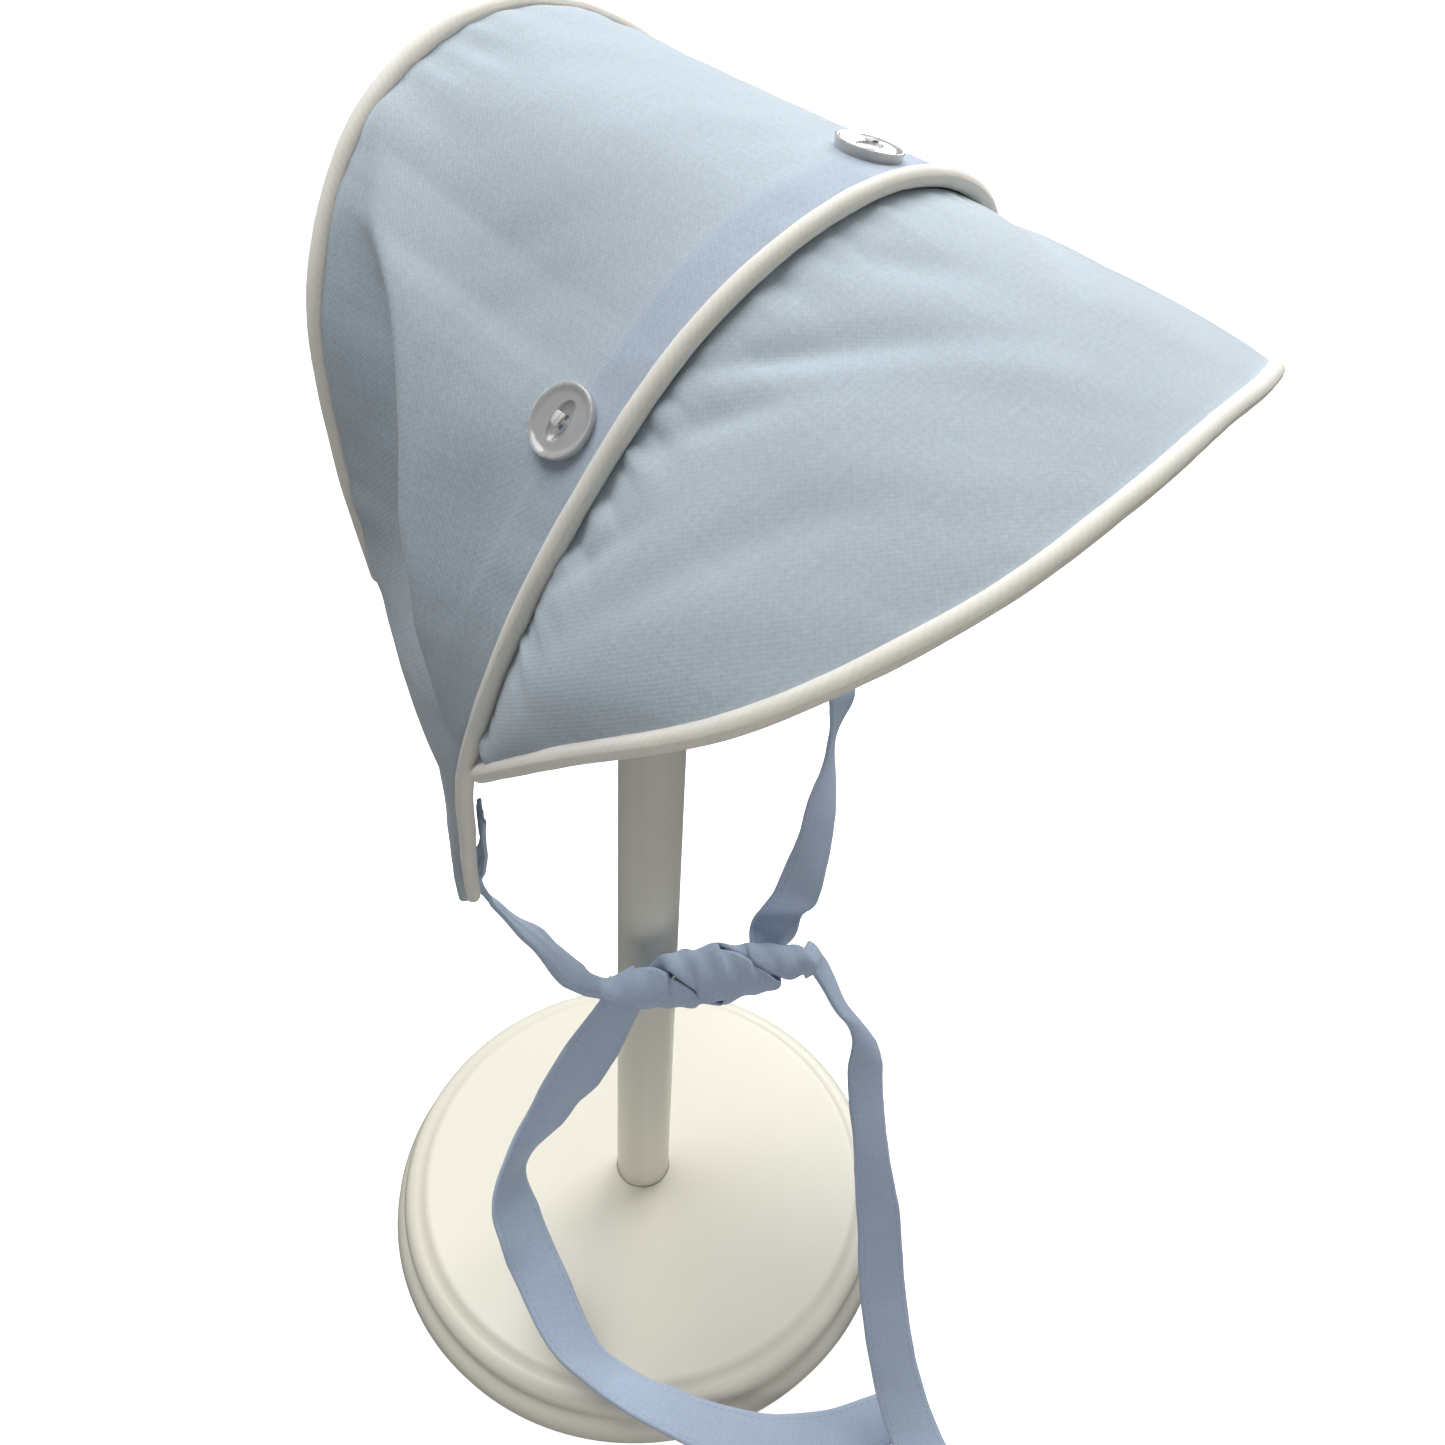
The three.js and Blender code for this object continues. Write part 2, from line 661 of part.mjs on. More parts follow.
function tieStations(side) {
  if (side === right) {
    return [
      sewnStation(right, tieSewShare, false),
      sewnStation(right, tieSewShare / 2, false),
      sewnStation(right, 0, false),
      ...upperStations(rightUpperRows, tieCorner(right), knotEnd(0)),
      ...[0, 0.14, 0.28, 0.42, 0.56, 0.7, 0.84, 1].map((share) => knotStation(share, 0, -1)),
      ...tailStations(rightTailRows),
    ];
  }
  return [
    sewnStation(left, tieSewShare, true),
    ...upperStations(leftUpperRows, tieCorner(left), knotEnd(1)),
    ...[0.84, 0.7, 0.56, 0.42, 0.28].map((share) => knotStation(share, 180, 1)),
    ...tailStations(leftTailRows),
  ];
}

// Stand
function lathe(profile, segments) {
  const points = profile.map(([radius, height]) => new THREE.Vector2(radius, height));
  return new THREE.LatheGeometry(points, segments).rotateX(Math.PI / 2);
}

// Foot: rounded lip, groove, bead and a flat top with a socket for the post
function baseGeometry() {
  const lip = [];
  for (let i = 0; i <= 6; i += 1) {
    const turn = blend(-0.5, 0.5, i / 6) * Math.PI;
    lip.push([
      baseRadius - baseLipRound * (1 - Math.cos(turn)),
      baseLipHeight - baseLipRound * (1 - Math.sin(turn)),
    ]);
  }
  const topRadius = baseRadius - baseTopInset;
  const bead = blend(baseLipHeight, baseHeight, 0.72);
  return lathe([
    [0, 0],
    [baseRadius - baseLipRound, 0],
    ...lip,
    [baseRadius - baseStep - 1.2, baseLipHeight + 0.4],
    [baseRadius - baseStep, blend(baseLipHeight, bead, 0.5)],
    [baseRadius - baseStep - 0.8, bead],
    [topRadius + 3, bead + 0.6],
    [topRadius + 1, blend(bead, baseHeight, 0.5)],
    [topRadius, baseHeight],
    [postRadius + gap, baseHeight],
    [postRadius + gap, baseHeight - postSink],
    [0, baseHeight - postSink],
  ], 40);
}

// Head: a dome that the crown's cloth rests on, just clear of it
const crownTop = crownPoint(-backTopForward / (cornerForward + frontReach - backTopForward), 0.5);
const crownSlope = frontEdge.getPoint(0.5).sub(backEdge.getPoint(0.5)).normalize();
const domeMiddle = crownTop.z
  - (headDomeRadius + gap + clothWall / 2) / Math.hypot(crownSlope.x, crownSlope.y);
const domeEdge = domeMiddle + Math.sqrt(headDomeRadius ** 2 - headRadius ** 2);
const headBottom = domeEdge - headSkirt;
const postTop = headBottom + headSocketDepth;

function headGeometry() {
  const dome = [];
  const edgeTurn = Math.asin(headRadius / headDomeRadius);
  for (let i = 0; i <= 6; i += 1) {
    const turn = edgeTurn * i / 6;
    dome.push([headDomeRadius * Math.sin(turn), domeMiddle + headDomeRadius * Math.cos(turn)]);
  }
  return lathe([
    ...dome,
    [headRadius, headBottom + 0.4 * headSkirt],
    [0.85 * headRadius, headBottom],
    [postRadius + gap, headBottom],
    [postRadius + gap, postTop + gap],
    [0, postTop + gap],
  ].reverse(), 28);
}

function postGeometry() {
  const foot = baseHeight - postSink + gap;
  return lathe([[0, foot], [postRadius, foot], [postRadius, postTop], [0, postTop]], 32);
}

const materials = {
  cotton: new THREE.MeshStandardMaterial({ color: colors.cotton, roughness: 0.9, metalness: 0 }),
  piping: new THREE.MeshStandardMaterial({ color: colors.piping, roughness: 0.85, metalness: 0 }),
  paint: new THREE.MeshStandardMaterial({ color: colors.paint, roughness: 0.4, metalness: 0 }),
  button: new THREE.MeshStandardMaterial({ color: colors.button, roughness: 0.25, metalness: 0 }),
};

const bonnetOnStand = new THREE.Group();

function add(name, geometry, material) {
  const mesh = new THREE.Mesh(geometry, material);
  mesh.name = name;
  bonnetOnStand.add(mesh);
  return mesh;
}

add('crown', crownGeometry(), materials.cotton);
add('back_panel', backPanelGeometry(), materials.cotton);
add('brim', brimGeometry(), materials.cotton);
add('front_piping', pipingGeometry(frontEdge, 0, 1, 52), materials.piping);
add('back_piping', pipingGeometry(backEdge, 0, 1, 40), materials.piping);
add('brim_piping', pipingGeometry(brimEdge, 0, 1, 44), materials.piping);
placeButton(add('button_right', buttonGeometry(), materials.button), buttonSideShare);
placeButton(add('button_top', buttonGeometry(), materials.button), buttonTopShare);
placeButton(add('button_left', buttonGeometry(), materials.button), 1 - buttonSideShare);
add('tie_right', tieGeometry(tieStations(right), 66), materials.cotton);
add('tie_left', tieGeometry(tieStations(left), 66), materials.cotton);
add('stand_base', baseGeometry(), materials.paint);
add('stand_post', postGeometry(), materials.paint);
add('stand_head', headGeometry(), materials.paint);

export default bonnetOnStand;
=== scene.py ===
"""A baby's cotton bonnet, tied by its ribbons in front of the painted wooden hat stand that it rests on.

Sizes are in millimetres in the shape tables and in metres in the settings. The bonnet faces -Y,
so the wearer's right is at -X. The origin is the centre of the stand's underside, on the table.
"""

import math

import bpy
import numpy as np
from mathutils import Matrix, Vector


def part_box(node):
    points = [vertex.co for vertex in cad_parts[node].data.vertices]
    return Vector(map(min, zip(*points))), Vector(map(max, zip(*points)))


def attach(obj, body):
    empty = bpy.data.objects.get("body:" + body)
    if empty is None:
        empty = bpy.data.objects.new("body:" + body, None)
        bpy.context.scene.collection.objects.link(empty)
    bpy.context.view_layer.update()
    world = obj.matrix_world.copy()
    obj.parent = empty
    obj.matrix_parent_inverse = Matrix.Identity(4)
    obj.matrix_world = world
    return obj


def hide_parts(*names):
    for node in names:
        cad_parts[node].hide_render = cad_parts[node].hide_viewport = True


bl_info = {
    "name": "Cotton bonnet on a hat stand",
    "version": (1, 0, 0),
    "blender": (4, 5, 0),
    "location": "View3D > Sidebar > Bonnet",
    "description": "Sews a piped cotton bonnet with ribbon ties round the solids of its part",
    "category": "Add Mesh",
}

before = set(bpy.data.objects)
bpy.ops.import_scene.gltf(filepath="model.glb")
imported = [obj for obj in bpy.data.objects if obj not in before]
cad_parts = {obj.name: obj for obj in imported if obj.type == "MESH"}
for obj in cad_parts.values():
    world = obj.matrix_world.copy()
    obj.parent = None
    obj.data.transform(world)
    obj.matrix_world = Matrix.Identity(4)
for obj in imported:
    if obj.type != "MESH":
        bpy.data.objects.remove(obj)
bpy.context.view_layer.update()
BODY = "root"
MM = 0.001


def linear(hex_colour):
    """An sRGB hex colour as linear red, green and blue."""
    shares = [int(hex_colour[i : i + 2], 16) / 255 for i in (1, 3, 5)]
    return tuple(s / 12.92 if s <= 0.04045 else ((s + 0.055) / 1.055) ** 2.4 for s in shares)


def setting(name, description, default, kind=bpy.props.FloatProperty, **more):
    """A number that a user would change, never below zero."""
    return kind(name=name, description=description, default=default, min=0.0, **more)


def length_setting(name, description, default):
    """A length, in metres."""
    return setting(name, description, default, subtype="DISTANCE", unit="LENGTH", precision=5)


def power_setting(name, description, default):
    """The power of a light, in watts."""
    return setting(name, description, default, subtype="POWER", unit="POWER")


def colour_setting(name, description, hex_colour):
    """A colour, given as a hex value."""
    kind = bpy.props.FloatVectorProperty
    return setting(name, description, linear(hex_colour), kind, size=3, max=1.0, subtype="COLOR")


class BonnetSettings(bpy.types.PropertyGroup):
    """Sizes and colours of the bonnet."""

    cloth_wall: length_setting("Cloth", "Thickness of the lined cotton", 1.1 * MM)
    piping_radius: length_setting("Piping radius", "Half the thickness of the piping", 1.6 * MM)
    fold_hollow: length_setting("Hollow", "Depth of the hollow behind the deep fold", 6.5 * MM)
    fold_height: length_setting("Fold", "Height of the deep fold beside the horseshoe", 3 * MM)
    pucker_depth: length_setting("Puckers", "Depth of the puckers along the seams", 0.5 * MM)
    rumple_depth: length_setting("Rumples", "Depth of the soft wrinkles in the cloth", 0.55 * MM)
    thread_spacing: length_setting("Thread spacing", "Distance between drawn threads", 0.5 * MM)
    button_radius: length_setting("Button radius", "Half the width of a button", 5.7 * MM)
    button_height: length_setting("Button height", "Thickness of a button", 3.0 * MM)
    tie_width: length_setting("Tie width", "Width of a ribbon tie", 15 * MM)
    tie_wall: length_setting("Tie thickness", "Thickness of a ribbon tie", 0.8 * MM)
    cotton: colour_setting("Cotton", "Pale blue of the cloth", "#BDCAD4")
    # Painted shade: colour of the darker, bluer strip on the crown behind the front piping
    front_seam_shade_colour: colour_setting("Doubled cotton", "Bluer tone where the brim's flap lies under", "#B5C2D4")
    ribbon: colour_setting("Ribbon", "Blue of the ties", "#BFCFE6")
    piping: colour_setting("Piping", "Warm off-white of the piping", "#FFF5E8")
    button: colour_setting("Button", "Grey of the translucent buttons", "#C5C6C6")
    thread: colour_setting("Thread", "Off-white of the sewing thread", "#E9E8E6")


class StandSettings(bpy.types.PropertyGroup):
    """Sizes and colours of the hat stand."""

    edge_round: length_setting("Edge rounding", "Rounding of the turned edges", 0.8 * MM)
    paint: colour_setting("Paint", "Warm off-white of the painted wood", "#ECE8D9")


class StageSettings(bpy.types.PropertyGroup):
    """Light and backdrop."""

    key_power: power_setting("Overhead light", "Power of the large overhead light", 8.9)
    side_power: power_setting("Side light", "Power of the large light on the wearer's left", 9.2)
    fill_power: power_setting("Fill light", "Power of the soft light behind the wearer's right", 0.5)
    low_power: power_setting("Low light", "Power of the small light that stands for the table's own", 0.5)
    sky: setting("Surroundings", "Brightness of the white room overhead", 0.2)
    glow: setting("Table glow", "Light of the table's own that keeps it as white as the backdrop", 1.0)
    floor: colour_setting("Floor", "Colour of the table", "#F4F4F2")


# Small tools


def deselect():
    """Nothing selected, so that the next operator acts on its own piece alone."""
    if bpy.context.object and bpy.context.object.mode != "OBJECT":
        bpy.ops.object.mode_set(mode="OBJECT")
    bpy.ops.object.select_all(action="DESELECT")


def added(add, **settings):
    """The object that an operator adds, on its own and nothing else selected."""
    deselect()
    add(**settings)
    return bpy.context.object


def activate(piece):
    """Only this piece selected and active."""
    deselect()
    piece.select_set(True)
    bpy.context.view_layer.objects.active = piece


def select_faces(piece, wanted):
    """Opens a piece in edit mode with only the faces selected that a test picks."""
    activate(piece)
    bpy.ops.object.mode_set(mode="EDIT")
    bpy.ops.mesh.select_mode(type="FACE")
    bpy.ops.mesh.select_all(action="DESELECT")
    bpy.ops.object.mode_set(mode="OBJECT")
    for face in piece.data.polygons:
        face.select = wanted(face)
    bpy.ops.object.mode_set(mode="EDIT")


def finish_piece(piece, name, material, *nodes):
    """Names a piece, puts its place in its mesh, gives it its material, hangs it under the body and hides
    the CAD nodes that it stands for.
    """
    piece.name = name
    piece.data.name = name
    piece.data.transform(piece.matrix_world)
    piece.matrix_world = Matrix.Identity(4)
    piece.data.materials.clear()
    piece.data.materials.append(material)
    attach(piece, BODY)
    if nodes:
        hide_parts(*nodes)
    return piece


def grid_piece(points, uv, closed=False):
    """A primitive grid whose corners are set to points[row][column], with its own UV map."""
    rows, columns = points.shape[0] - 1, points.shape[1] - 1
    counts = {"x_subdivisions": columns, "y_subdivisions": rows}
    piece = added(bpy.ops.mesh.primitive_grid_add, size=2, calc_uvs=True, **counts)
    mesh = piece.data
    flat = np.empty(len(mesh.vertices) * 3)
    mesh.vertices.foreach_get("co", flat)
    flat = flat.reshape(-1, 3)
    column = np.rint((flat[:, 0] + 1) / 2 * columns).astype(int)
    row = np.rint((flat[:, 1] + 1) / 2 * rows).astype(int)
    mesh.vertices.foreach_set("co", points[row, column].ravel())
    corner = np.empty(len(mesh.loops), int)
    mesh.loops.foreach_get("vertex_index", corner)
    mesh.uv_layers.active.data.foreach_set("uv", uv[row, column][corner].ravel())
    mesh.update()
    if closed:
        bpy.ops.object.mode_set(mode="EDIT")
        bpy.ops.mesh.select_all(action="SELECT")
        bpy.ops.mesh.remove_doubles(threshold=1e-6)
        bpy.ops.mesh.normals_make_consistent(inside=False)
        bpy.ops.object.mode_set(mode="OBJECT")
    bpy.ops.object.shade_smooth()
    return piece, row, column


def point_attribute(piece, name, values):
    """A number at each point, which a material reads by its name."""
    attribute = piece.data.attributes.new(name, "FLOAT", "POINT")
    attribute.data.foreach_set("value", values.astype(np.float32))


def apply_modifier(piece, kind, **settings):
    """Adds a modifier and applies it."""
    activate(piece)
    modifier = piece.modifiers.new(kind.title(), kind)
    for name, value in settings.items():
        setattr(modifier, name, value)
    bpy.ops.object.modifier_apply(modifier=modifier.name)


def bevel(piece, width, segments, angle):
    """Rounds the edges of a piece that are sharper than an angle."""
    limit = {"limit_method": "ANGLE", "angle_limit": angle}
    apply_modifier(piece, "BEVEL", width=width, segments=segments, **limit)


def stroked(points):
    """Distance walked along each line of a grid of points, row by row, from its first column."""
    steps = np.linalg.norm(np.diff(points, axis=1), axis=2)
    return np.concatenate([np.zeros((len(points), 1)), np.cumsum(steps, axis=1)], axis=1)


def ease(low, high, value):
    """0 at or below low, 1 at or above high, with a soft start and end."""
    share = np.clip((value - low) / (high - low), 0, 1)
    return share * share * (3 - 2 * share)


def soft_noise(x, y, size, seed):
    """Smooth random waves between -1 and 1, with hills about size apart."""
    table = np.random.default_rng(seed).uniform(-1, 1, (64, 64))
    x, y = x / size, y / size
    left, low = np.floor(x).astype(int), np.floor(y).astype(int)
    across, up = ease(0, 1, x - left), ease(0, 1, y - low)
    corner = table[left % 64, low % 64], table[(left + 1) % 64, low % 64]
    above = table[left % 64, (low + 1) % 64], table[(left + 1) % 64, (low + 1) % 64]
    lower = corner[0] + (corner[1] - corner[0]) * across
    upper = above[0] + (above[1] - above[0]) * across
    return lower + (upper - lower) * up


def shape_table(columns, *rows):
    """Rows of a table, each with its values under the names of the columns."""
    return [dict(zip(columns.split(), values)) for values in rows]


class Seam:
    """A smooth line through points, read by its share from 0 to 1."""

    def __init__(self, points):
        points = np.array(points, float)
        self.count = len(points)
        before, after = 2 * points[0] - points[1], 2 * points[-1] - points[-2]
        line = np.vstack([before, points, after])
        a, b, c, d = line[:-3], line[1:-2], line[2:-1], line[3:]
        first, middle, last = (
            np.sqrt(np.linalg.norm(q - p, axis=1))[:, None] for p, q in ((a, b), (b, c), (c, d))
        )
        leave = (b - a) / first - (c - a) / (first + middle) + (c - b) / middle
        arrive = (c - b) / middle - (d - b) / (middle + last) + (d - c) / last
        leave, arrive = leave * middle, arrive * middle
        self.terms = b, leave, 3 * (c - b) - 2 * leave - arrive, 2 * (b - c) + leave + arrive
        self.length = stroked(self.at(np.linspace(0, 1, 200))[None])[0, -1]

    def at(self, share):
        """Points at shares of the line."""
        reach = np.clip(np.asarray(share, float), 0, 1) * (self.count - 1)
        low = np.minimum(np.floor(reach).astype(int), self.count - 2)
        part = (reach - low)[..., None]
        start, slope, bend, twist = (term[low] for term in self.terms)
        return start + part * (slope + part * (bend + part * twist))

    def heading(self, share):
        """Unit directions at shares of the line."""
        share = np.asarray(share, float)
        line = self.at(share + 1e-4) - self.at(share - 1e-4)
        return line / np.linalg.norm(line, axis=-1, keepdims=True)


def unit(vectors):
    """Vectors of length 1."""
    return vectors / np.linalg.norm(vectors, axis=-1, keepdims=True)


def square_to(vectors, direction):
    """Vectors turned square to a unit direction, with length 1."""
    return unit(vectors - direction * np.sum(vectors * direction, axis=-1, keepdims=True))


def surface_normal(point_at, first, second):
    """Outward direction of a surface that is given by two shares."""
    step = 0.004
    along = point_at(np.minimum(first + step, 1), second) - point_at(np.maximum(first - step, 0), second)
    across = point_at(first, np.minimum(second + step, 1)) - point_at(first, np.maximum(second - step, 0))
    return unit(np.cross(along, across))


# Bonnet's lines, in millimetres, close to those of the part

CORNER_HEIGHT, CORNER_FORWARD = 166, -12
FRONT_HALF_WIDTH, FRONT_HEIGHT, FRONT_REACH = 70, 152.5, 55
BACK_FOOT_HEIGHT, BACK_TOP_FORWARD = 246, -34
BACK_HALF_WIDTH, BACK_HEIGHT, BACK_LEAN = 56, 86, 12.5
BACK_PANEL_BULGE, BACK_PANEL_DIP = 8, 8
CORNER_STRIP, NECK_BOW, NECK_SHARE = 3.2, 10, 0.2
BRIM_HALF_WIDTH, BRIM_REACH, BRIM_DROP = 82.5, 56.5, 20
BRIM_SWELL, BRIM_SIDE_SWELL, FLAP_DEPTH, FLAP_SHARE = 0.6, 5, 15, 0.2
BRIM_INSET, BRIM_CORNER_FORWARD, BRIM_CORNER_DROP, FLAP_SINK = 2.35, 1.665, 3, 5
CROWN_SWELL, EDGE_INSET, SHOWN_ALLOWANCE, ALLOWANCE_STEP = 2.5, 1.85, 9.5, 0.22
BUTTON_SHARES, BUTTON_SET_BACK, BUTTON_REST = (0.345, 0.52, 0.655), 7.5, 8

# Cloth: rounding of the fold's ridge, dip before the front piping, how far gathers reach from a
# seam and how far apart they lie, reach of the turn-in at a seam, and width of large wrinkles
RIDGE_ROUND, FRONT_DIP = 0.9, 5.5
PUCKER_REACH, PUCKER_WIDTH, FINE_PUCKER_WIDTH, PUCKER_GROUPS = 8, 5.5, 2.6, 45
ROLL_REACH = 1.4
CROWN_RUMPLE, BRIM_RUMPLE, PANEL_RUMPLE = 26, 24, 22

# Where the darker, bluer strip of painted shade behind the front piping starts, as shares of the front edge
SEAM_SHADE_REACH = (0.27, 0.37)

# Points round and along the grids of the cloth, the ties and the pipings. The back panel's begins a
# small share away from the middle of its fan.
CROWN_GRID, PANEL_GRID, BRIM_GRID = (421, 101), (161, 61), (321, 101)
TIE_GRID, PIPING_GRID = (520, 14), (360, 16)
PANEL_MIDDLE = 0.004

# Edges from a corner to the top, as shares of their reach, half width and height
FRONT_ROWS = shape_table(
    "forward side rise",
    (0, 0.66, 0),
    (0.33, 0.87, 0.257),
    (0.58, 1, 0.477),
    (0.8, 0.915, 0.716),
    (0.953, 0.57, 0.926),
    (1, 0, 1),
)
BACK_ROWS = shape_table(
    "forward side rise",
    (1, 0.93, 0),
    (0.94, 1, 0.312),
    (0.69, 0.966, 0.598),
    (0.34, 0.726, 0.829),
    (0.09, 0.377, 0.958),
    (0, 0, 1),
)
NECK_ROWS = shape_table(
    "rise bow",
    (0, 0),
    (0.25, 0.42),
    (0.48, 0.9),
    (0.63, 1),
    (0.75, 0.8),
    (0.87, 0.3),
    (1, 0),
)
BRIM_ROWS = shape_table(
    "forward side rise",
    (0.36, 0.95, 0.39),
    (0.7, 0.9, 0.67),
    (0.907, 0.63, 0.86),
    (0.985, 0.31, 0.966),
    (1, 0, 1),
)

# The deep fold on each side: its ridge from the rear edge (0) to the front (1), with the shares
# of its height and of the hollow behind it
FOLD_ROWS = shape_table(
    "across ridge height hollow",
    (0.2, 0.88, 0, 0),
    (0.217, 0.84, 0.5, 0.4),
    (0.234, 0.795, 1.1, 0.8),
    (0.251, 0.73, 1.6, 1.05),
    (0.268, 0.66, 1.7, 1.1),
    (0.283, 0.58, 1.6, 1.1),
    (0.305, 0.505, 1.35, 1.05),
    (0.3255, 0.4175, 1.15, 0.95),
    (0.34, 0.34, 1, 0.75),
    (0.35, 0.263, 0.8, 0.5),
    (0.358, 0.185, 0.45, 0.25),
    (0.385, 0.1, 0, 0),
)

# Dents of the crown: place as shares, size as shares, depth in millimetres
DENT_ROWS = shape_table(
    "across along wide long depth",
    (0.41, 0.12, 0.012, 0.14, 0.9),
    (0.435, 0.07, 0.008, 0.09, 0.8),
    (0.455, 0.1, 0.01, 0.1, 1.1),
    (0.49, 0.3, 0.03, 0.16, 0.5),
    (0.56, 0.12, 0.012, 0.12, 0.9),
    (0.36, 0.55, 0.03, 0.14, 0.9),
    (0.3, 0.72, 0.016, 0.14, 0.6),
    (0.68, 0.55, 0.03, 0.2, 0.7),
    (0.62, 0.3, 0.02, 0.2, 0.6),
)


def arch(rows, start, size):
    """Points through rows on the wearer's right, mirrored over the top to the left. The start is
    how far forward and up the shares begin, the size is half width, reach and height."""
    forward, up = start
    half_width, reach, height = size

    def row_point(row, side):
        ahead = forward + row["forward"] * reach
        return np.array([side * row["side"] * half_width, -ahead, up + row["rise"] * height])

    return [row_point(row, -1) for row in rows] + [row_point(row, 1) for row in rows[-2::-1]]


front_start, front_size = (CORNER_FORWARD, CORNER_HEIGHT), (FRONT_HALF_WIDTH, FRONT_REACH, FRONT_HEIGHT)
back_start, back_size = (BACK_TOP_FORWARD, BACK_FOOT_HEIGHT), (BACK_HALF_WIDTH, BACK_LEAN, BACK_HEIGHT)
front_edge = Seam(arch(FRONT_ROWS, front_start, front_size))
back_edge = Seam(arch(BACK_ROWS, back_start, back_size))


def neck_edge(end):
    """The neck edge from a front corner (end 0 or 1 of the front edge) to the horseshoe's foot."""
    corner = front_edge.at(end) + np.array([0, CORNER_STRIP, 0])
    foot = back_edge.at(end)
    bow = np.array([0, -NECK_BOW, 0])
    return Seam([corner + (foot - corner) * row["rise"] + bow * row["bow"] for row in NECK_ROWS])


neck_right, neck_left = neck_edge(0), neck_edge(1)


def rear_point(across):
    """The crown's rear edge, from the right corner (0) over the top to the left (1)."""
    back = back_edge.at((across - NECK_SHARE) / (1 - 2 * NECK_SHARE))
    right = neck_right.at(across / NECK_SHARE)
    left = neck_left.at((1 - across) / NECK_SHARE)
    on_right, on_left = (across < NECK_SHARE)[..., None], (across > 1 - NECK_SHARE)[..., None]
    return np.where(on_right, right, np.where(on_left, left, back))


def crown_base(along, across):
    """The crown before its folds, straight from the rear edge to the front edge."""
    rear = rear_point(across)
    return rear + (front_edge.at(across) - rear) * along[..., None]


def fold_offset(along, across, height, hollow):
    """How far the deep fold stands out: a wall up to a soft ridge, then a slope that dips before
    the front piping."""
    from_corner = np.minimum(across, 1 - across)
    stops = [row["across"] for row in FOLD_ROWS]
    ridge = np.interp(from_corner, stops, [row["ridge"] for row in FOLD_ROWS])
    height = height * np.interp(from_corner, stops, [row["height"] for row in FOLD_ROWS], 0, 0)
    hollow = hollow * np.interp(from_corner, stops, [row["hollow"] for row in FOLD_ROWS], 0, 0)
    up_wall = along / ridge
    wall = height * up_wall**3 - hollow * np.sin(np.pi * np.clip(up_wall, 0, 1) ** 1.2)
    slope = height * (1 - along) / (1 - ridge)
    rounding = RIDGE_ROUND * np.clip(hollow / 2, 0.05, 1)
    lower = np.logaddexp(-wall / rounding, -slope / rounding)
    before = np.clip((along - ridge) / (1 - ridge), 0, 1)
    dip = ease(0.19, 0.26, from_corner) * (1 - ease(0.36, 0.46, from_corner)) * (1 - ridge)
    return rounding * (math.log(2) - lower) - dip * FRONT_DIP * np.sin(np.pi * before**1.3)


def seam_puckers(along_seam, from_seam, depth, seed):
    """Small gathers that run out from a sewn seam: distances in millimetres."""
    wave = soft_noise(along_seam, from_seam * 0.12, PUCKER_WIDTH, seed)
    fine = soft_noise(along_seam, from_seam * 0.2, FINE_PUCKER_WIDTH, seed + 1)
    fade = np.exp(-((from_seam / PUCKER_REACH) ** 2)) * ease(0.6, 2.6, from_seam)
    swing = 0.55 + 0.45 * soft_noise(along_seam, 0.0, PUCKER_GROUPS, seed + 2)
    return depth * fade * swing * (wave + 0.45 * fine)


def dents(rows, along, across):
    """How deep all the dents of a table are, each one soft, some with a lean."""
    depth = 0
    for row in rows:
        beside = along - row["along"]
        aside = (across - row["across"] - row.get("lean", 0) * beside) / row["wide"]
        depth = depth + row["depth"] * np.exp(-(aside**2) - (beside / row["long"]) ** 2)
    return depth


def seam_roll(from_seam, depth):
    """Cloth turns in where it meets a seam."""
    return -depth * np.exp(-from_seam / ROLL_REACH)


def crown_form(along, across, settings):
    """The crown's smooth form: its swell, the deep folds and the dip behind the front piping."""
    base = crown_base(along, across)
    normal = surface_normal(crown_base, along, across)
    offset = CROWN_SWELL * np.sin(np.pi * along) * (1 - 1.3 * np.sin(np.pi * across) ** 4)
    offset += fold_offset(along, across, settings.fold_height / MM, settings.fold_hollow / MM)
    return base + normal * offset[..., None]


def crown_surface(along, across, settings):
    """Middle of the crown's cloth, with its folds, puckers and wrinkles."""
    normal = surface_normal(crown_base, along, across)
    rear, front = rear_point(across), front_edge.at(across)
    width = np.linalg.norm(front - rear, axis=-1)
    from_rear, from_front = along * width, (1 - along) * width
    round_back = back_edge.length * (across - NECK_SHARE) / (1 - 2 * NECK_SHARE)
    round_front = front_edge.length * across
    sewn = ease(NECK_SHARE - 0.01, NECK_SHARE + 0.02, np.minimum(across, 1 - across))
    pucker, rumple = settings.pucker_depth / MM, settings.rumple_depth / MM
    offset = sewn * seam_puckers(round_back, from_rear, 2 * pucker, 3)
    offset -= dents(DENT_ROWS, along, across)
    offset += seam_puckers(round_front, from_front, 0.5 * pucker, 7)
    offset += sewn * seam_roll(from_rear, 1) + seam_roll(from_front, 0.6)
    spread = np.sin(np.pi * np.clip(along, 0, 1)) ** 0.7
    offset += rumple * spread * soft_noise(round_front, from_front, CROWN_RUMPLE, 11)
    offset += 0.4 * rumple * spread * soft_noise(round_front + from_front, from_front, 11, 12)
    doubled = 1 - ease(SHOWN_ALLOWANCE - 1.2, SHOWN_ALLOWANCE + 0.6, from_front)
    offset += ALLOWANCE_STEP * doubled * ease(NECK_SHARE, NECK_SHARE + 0.03, np.minimum(across, 1 - across))
    for share in BUTTON_SHARES:
        away = np.hypot(front_edge.length * (across - share), from_front - BUTTON_SET_BACK)
        offset *= 1 - np.exp(-((away / BUTTON_REST) ** 4))
    return crown_form(along, across, settings) + normal * offset[..., None]


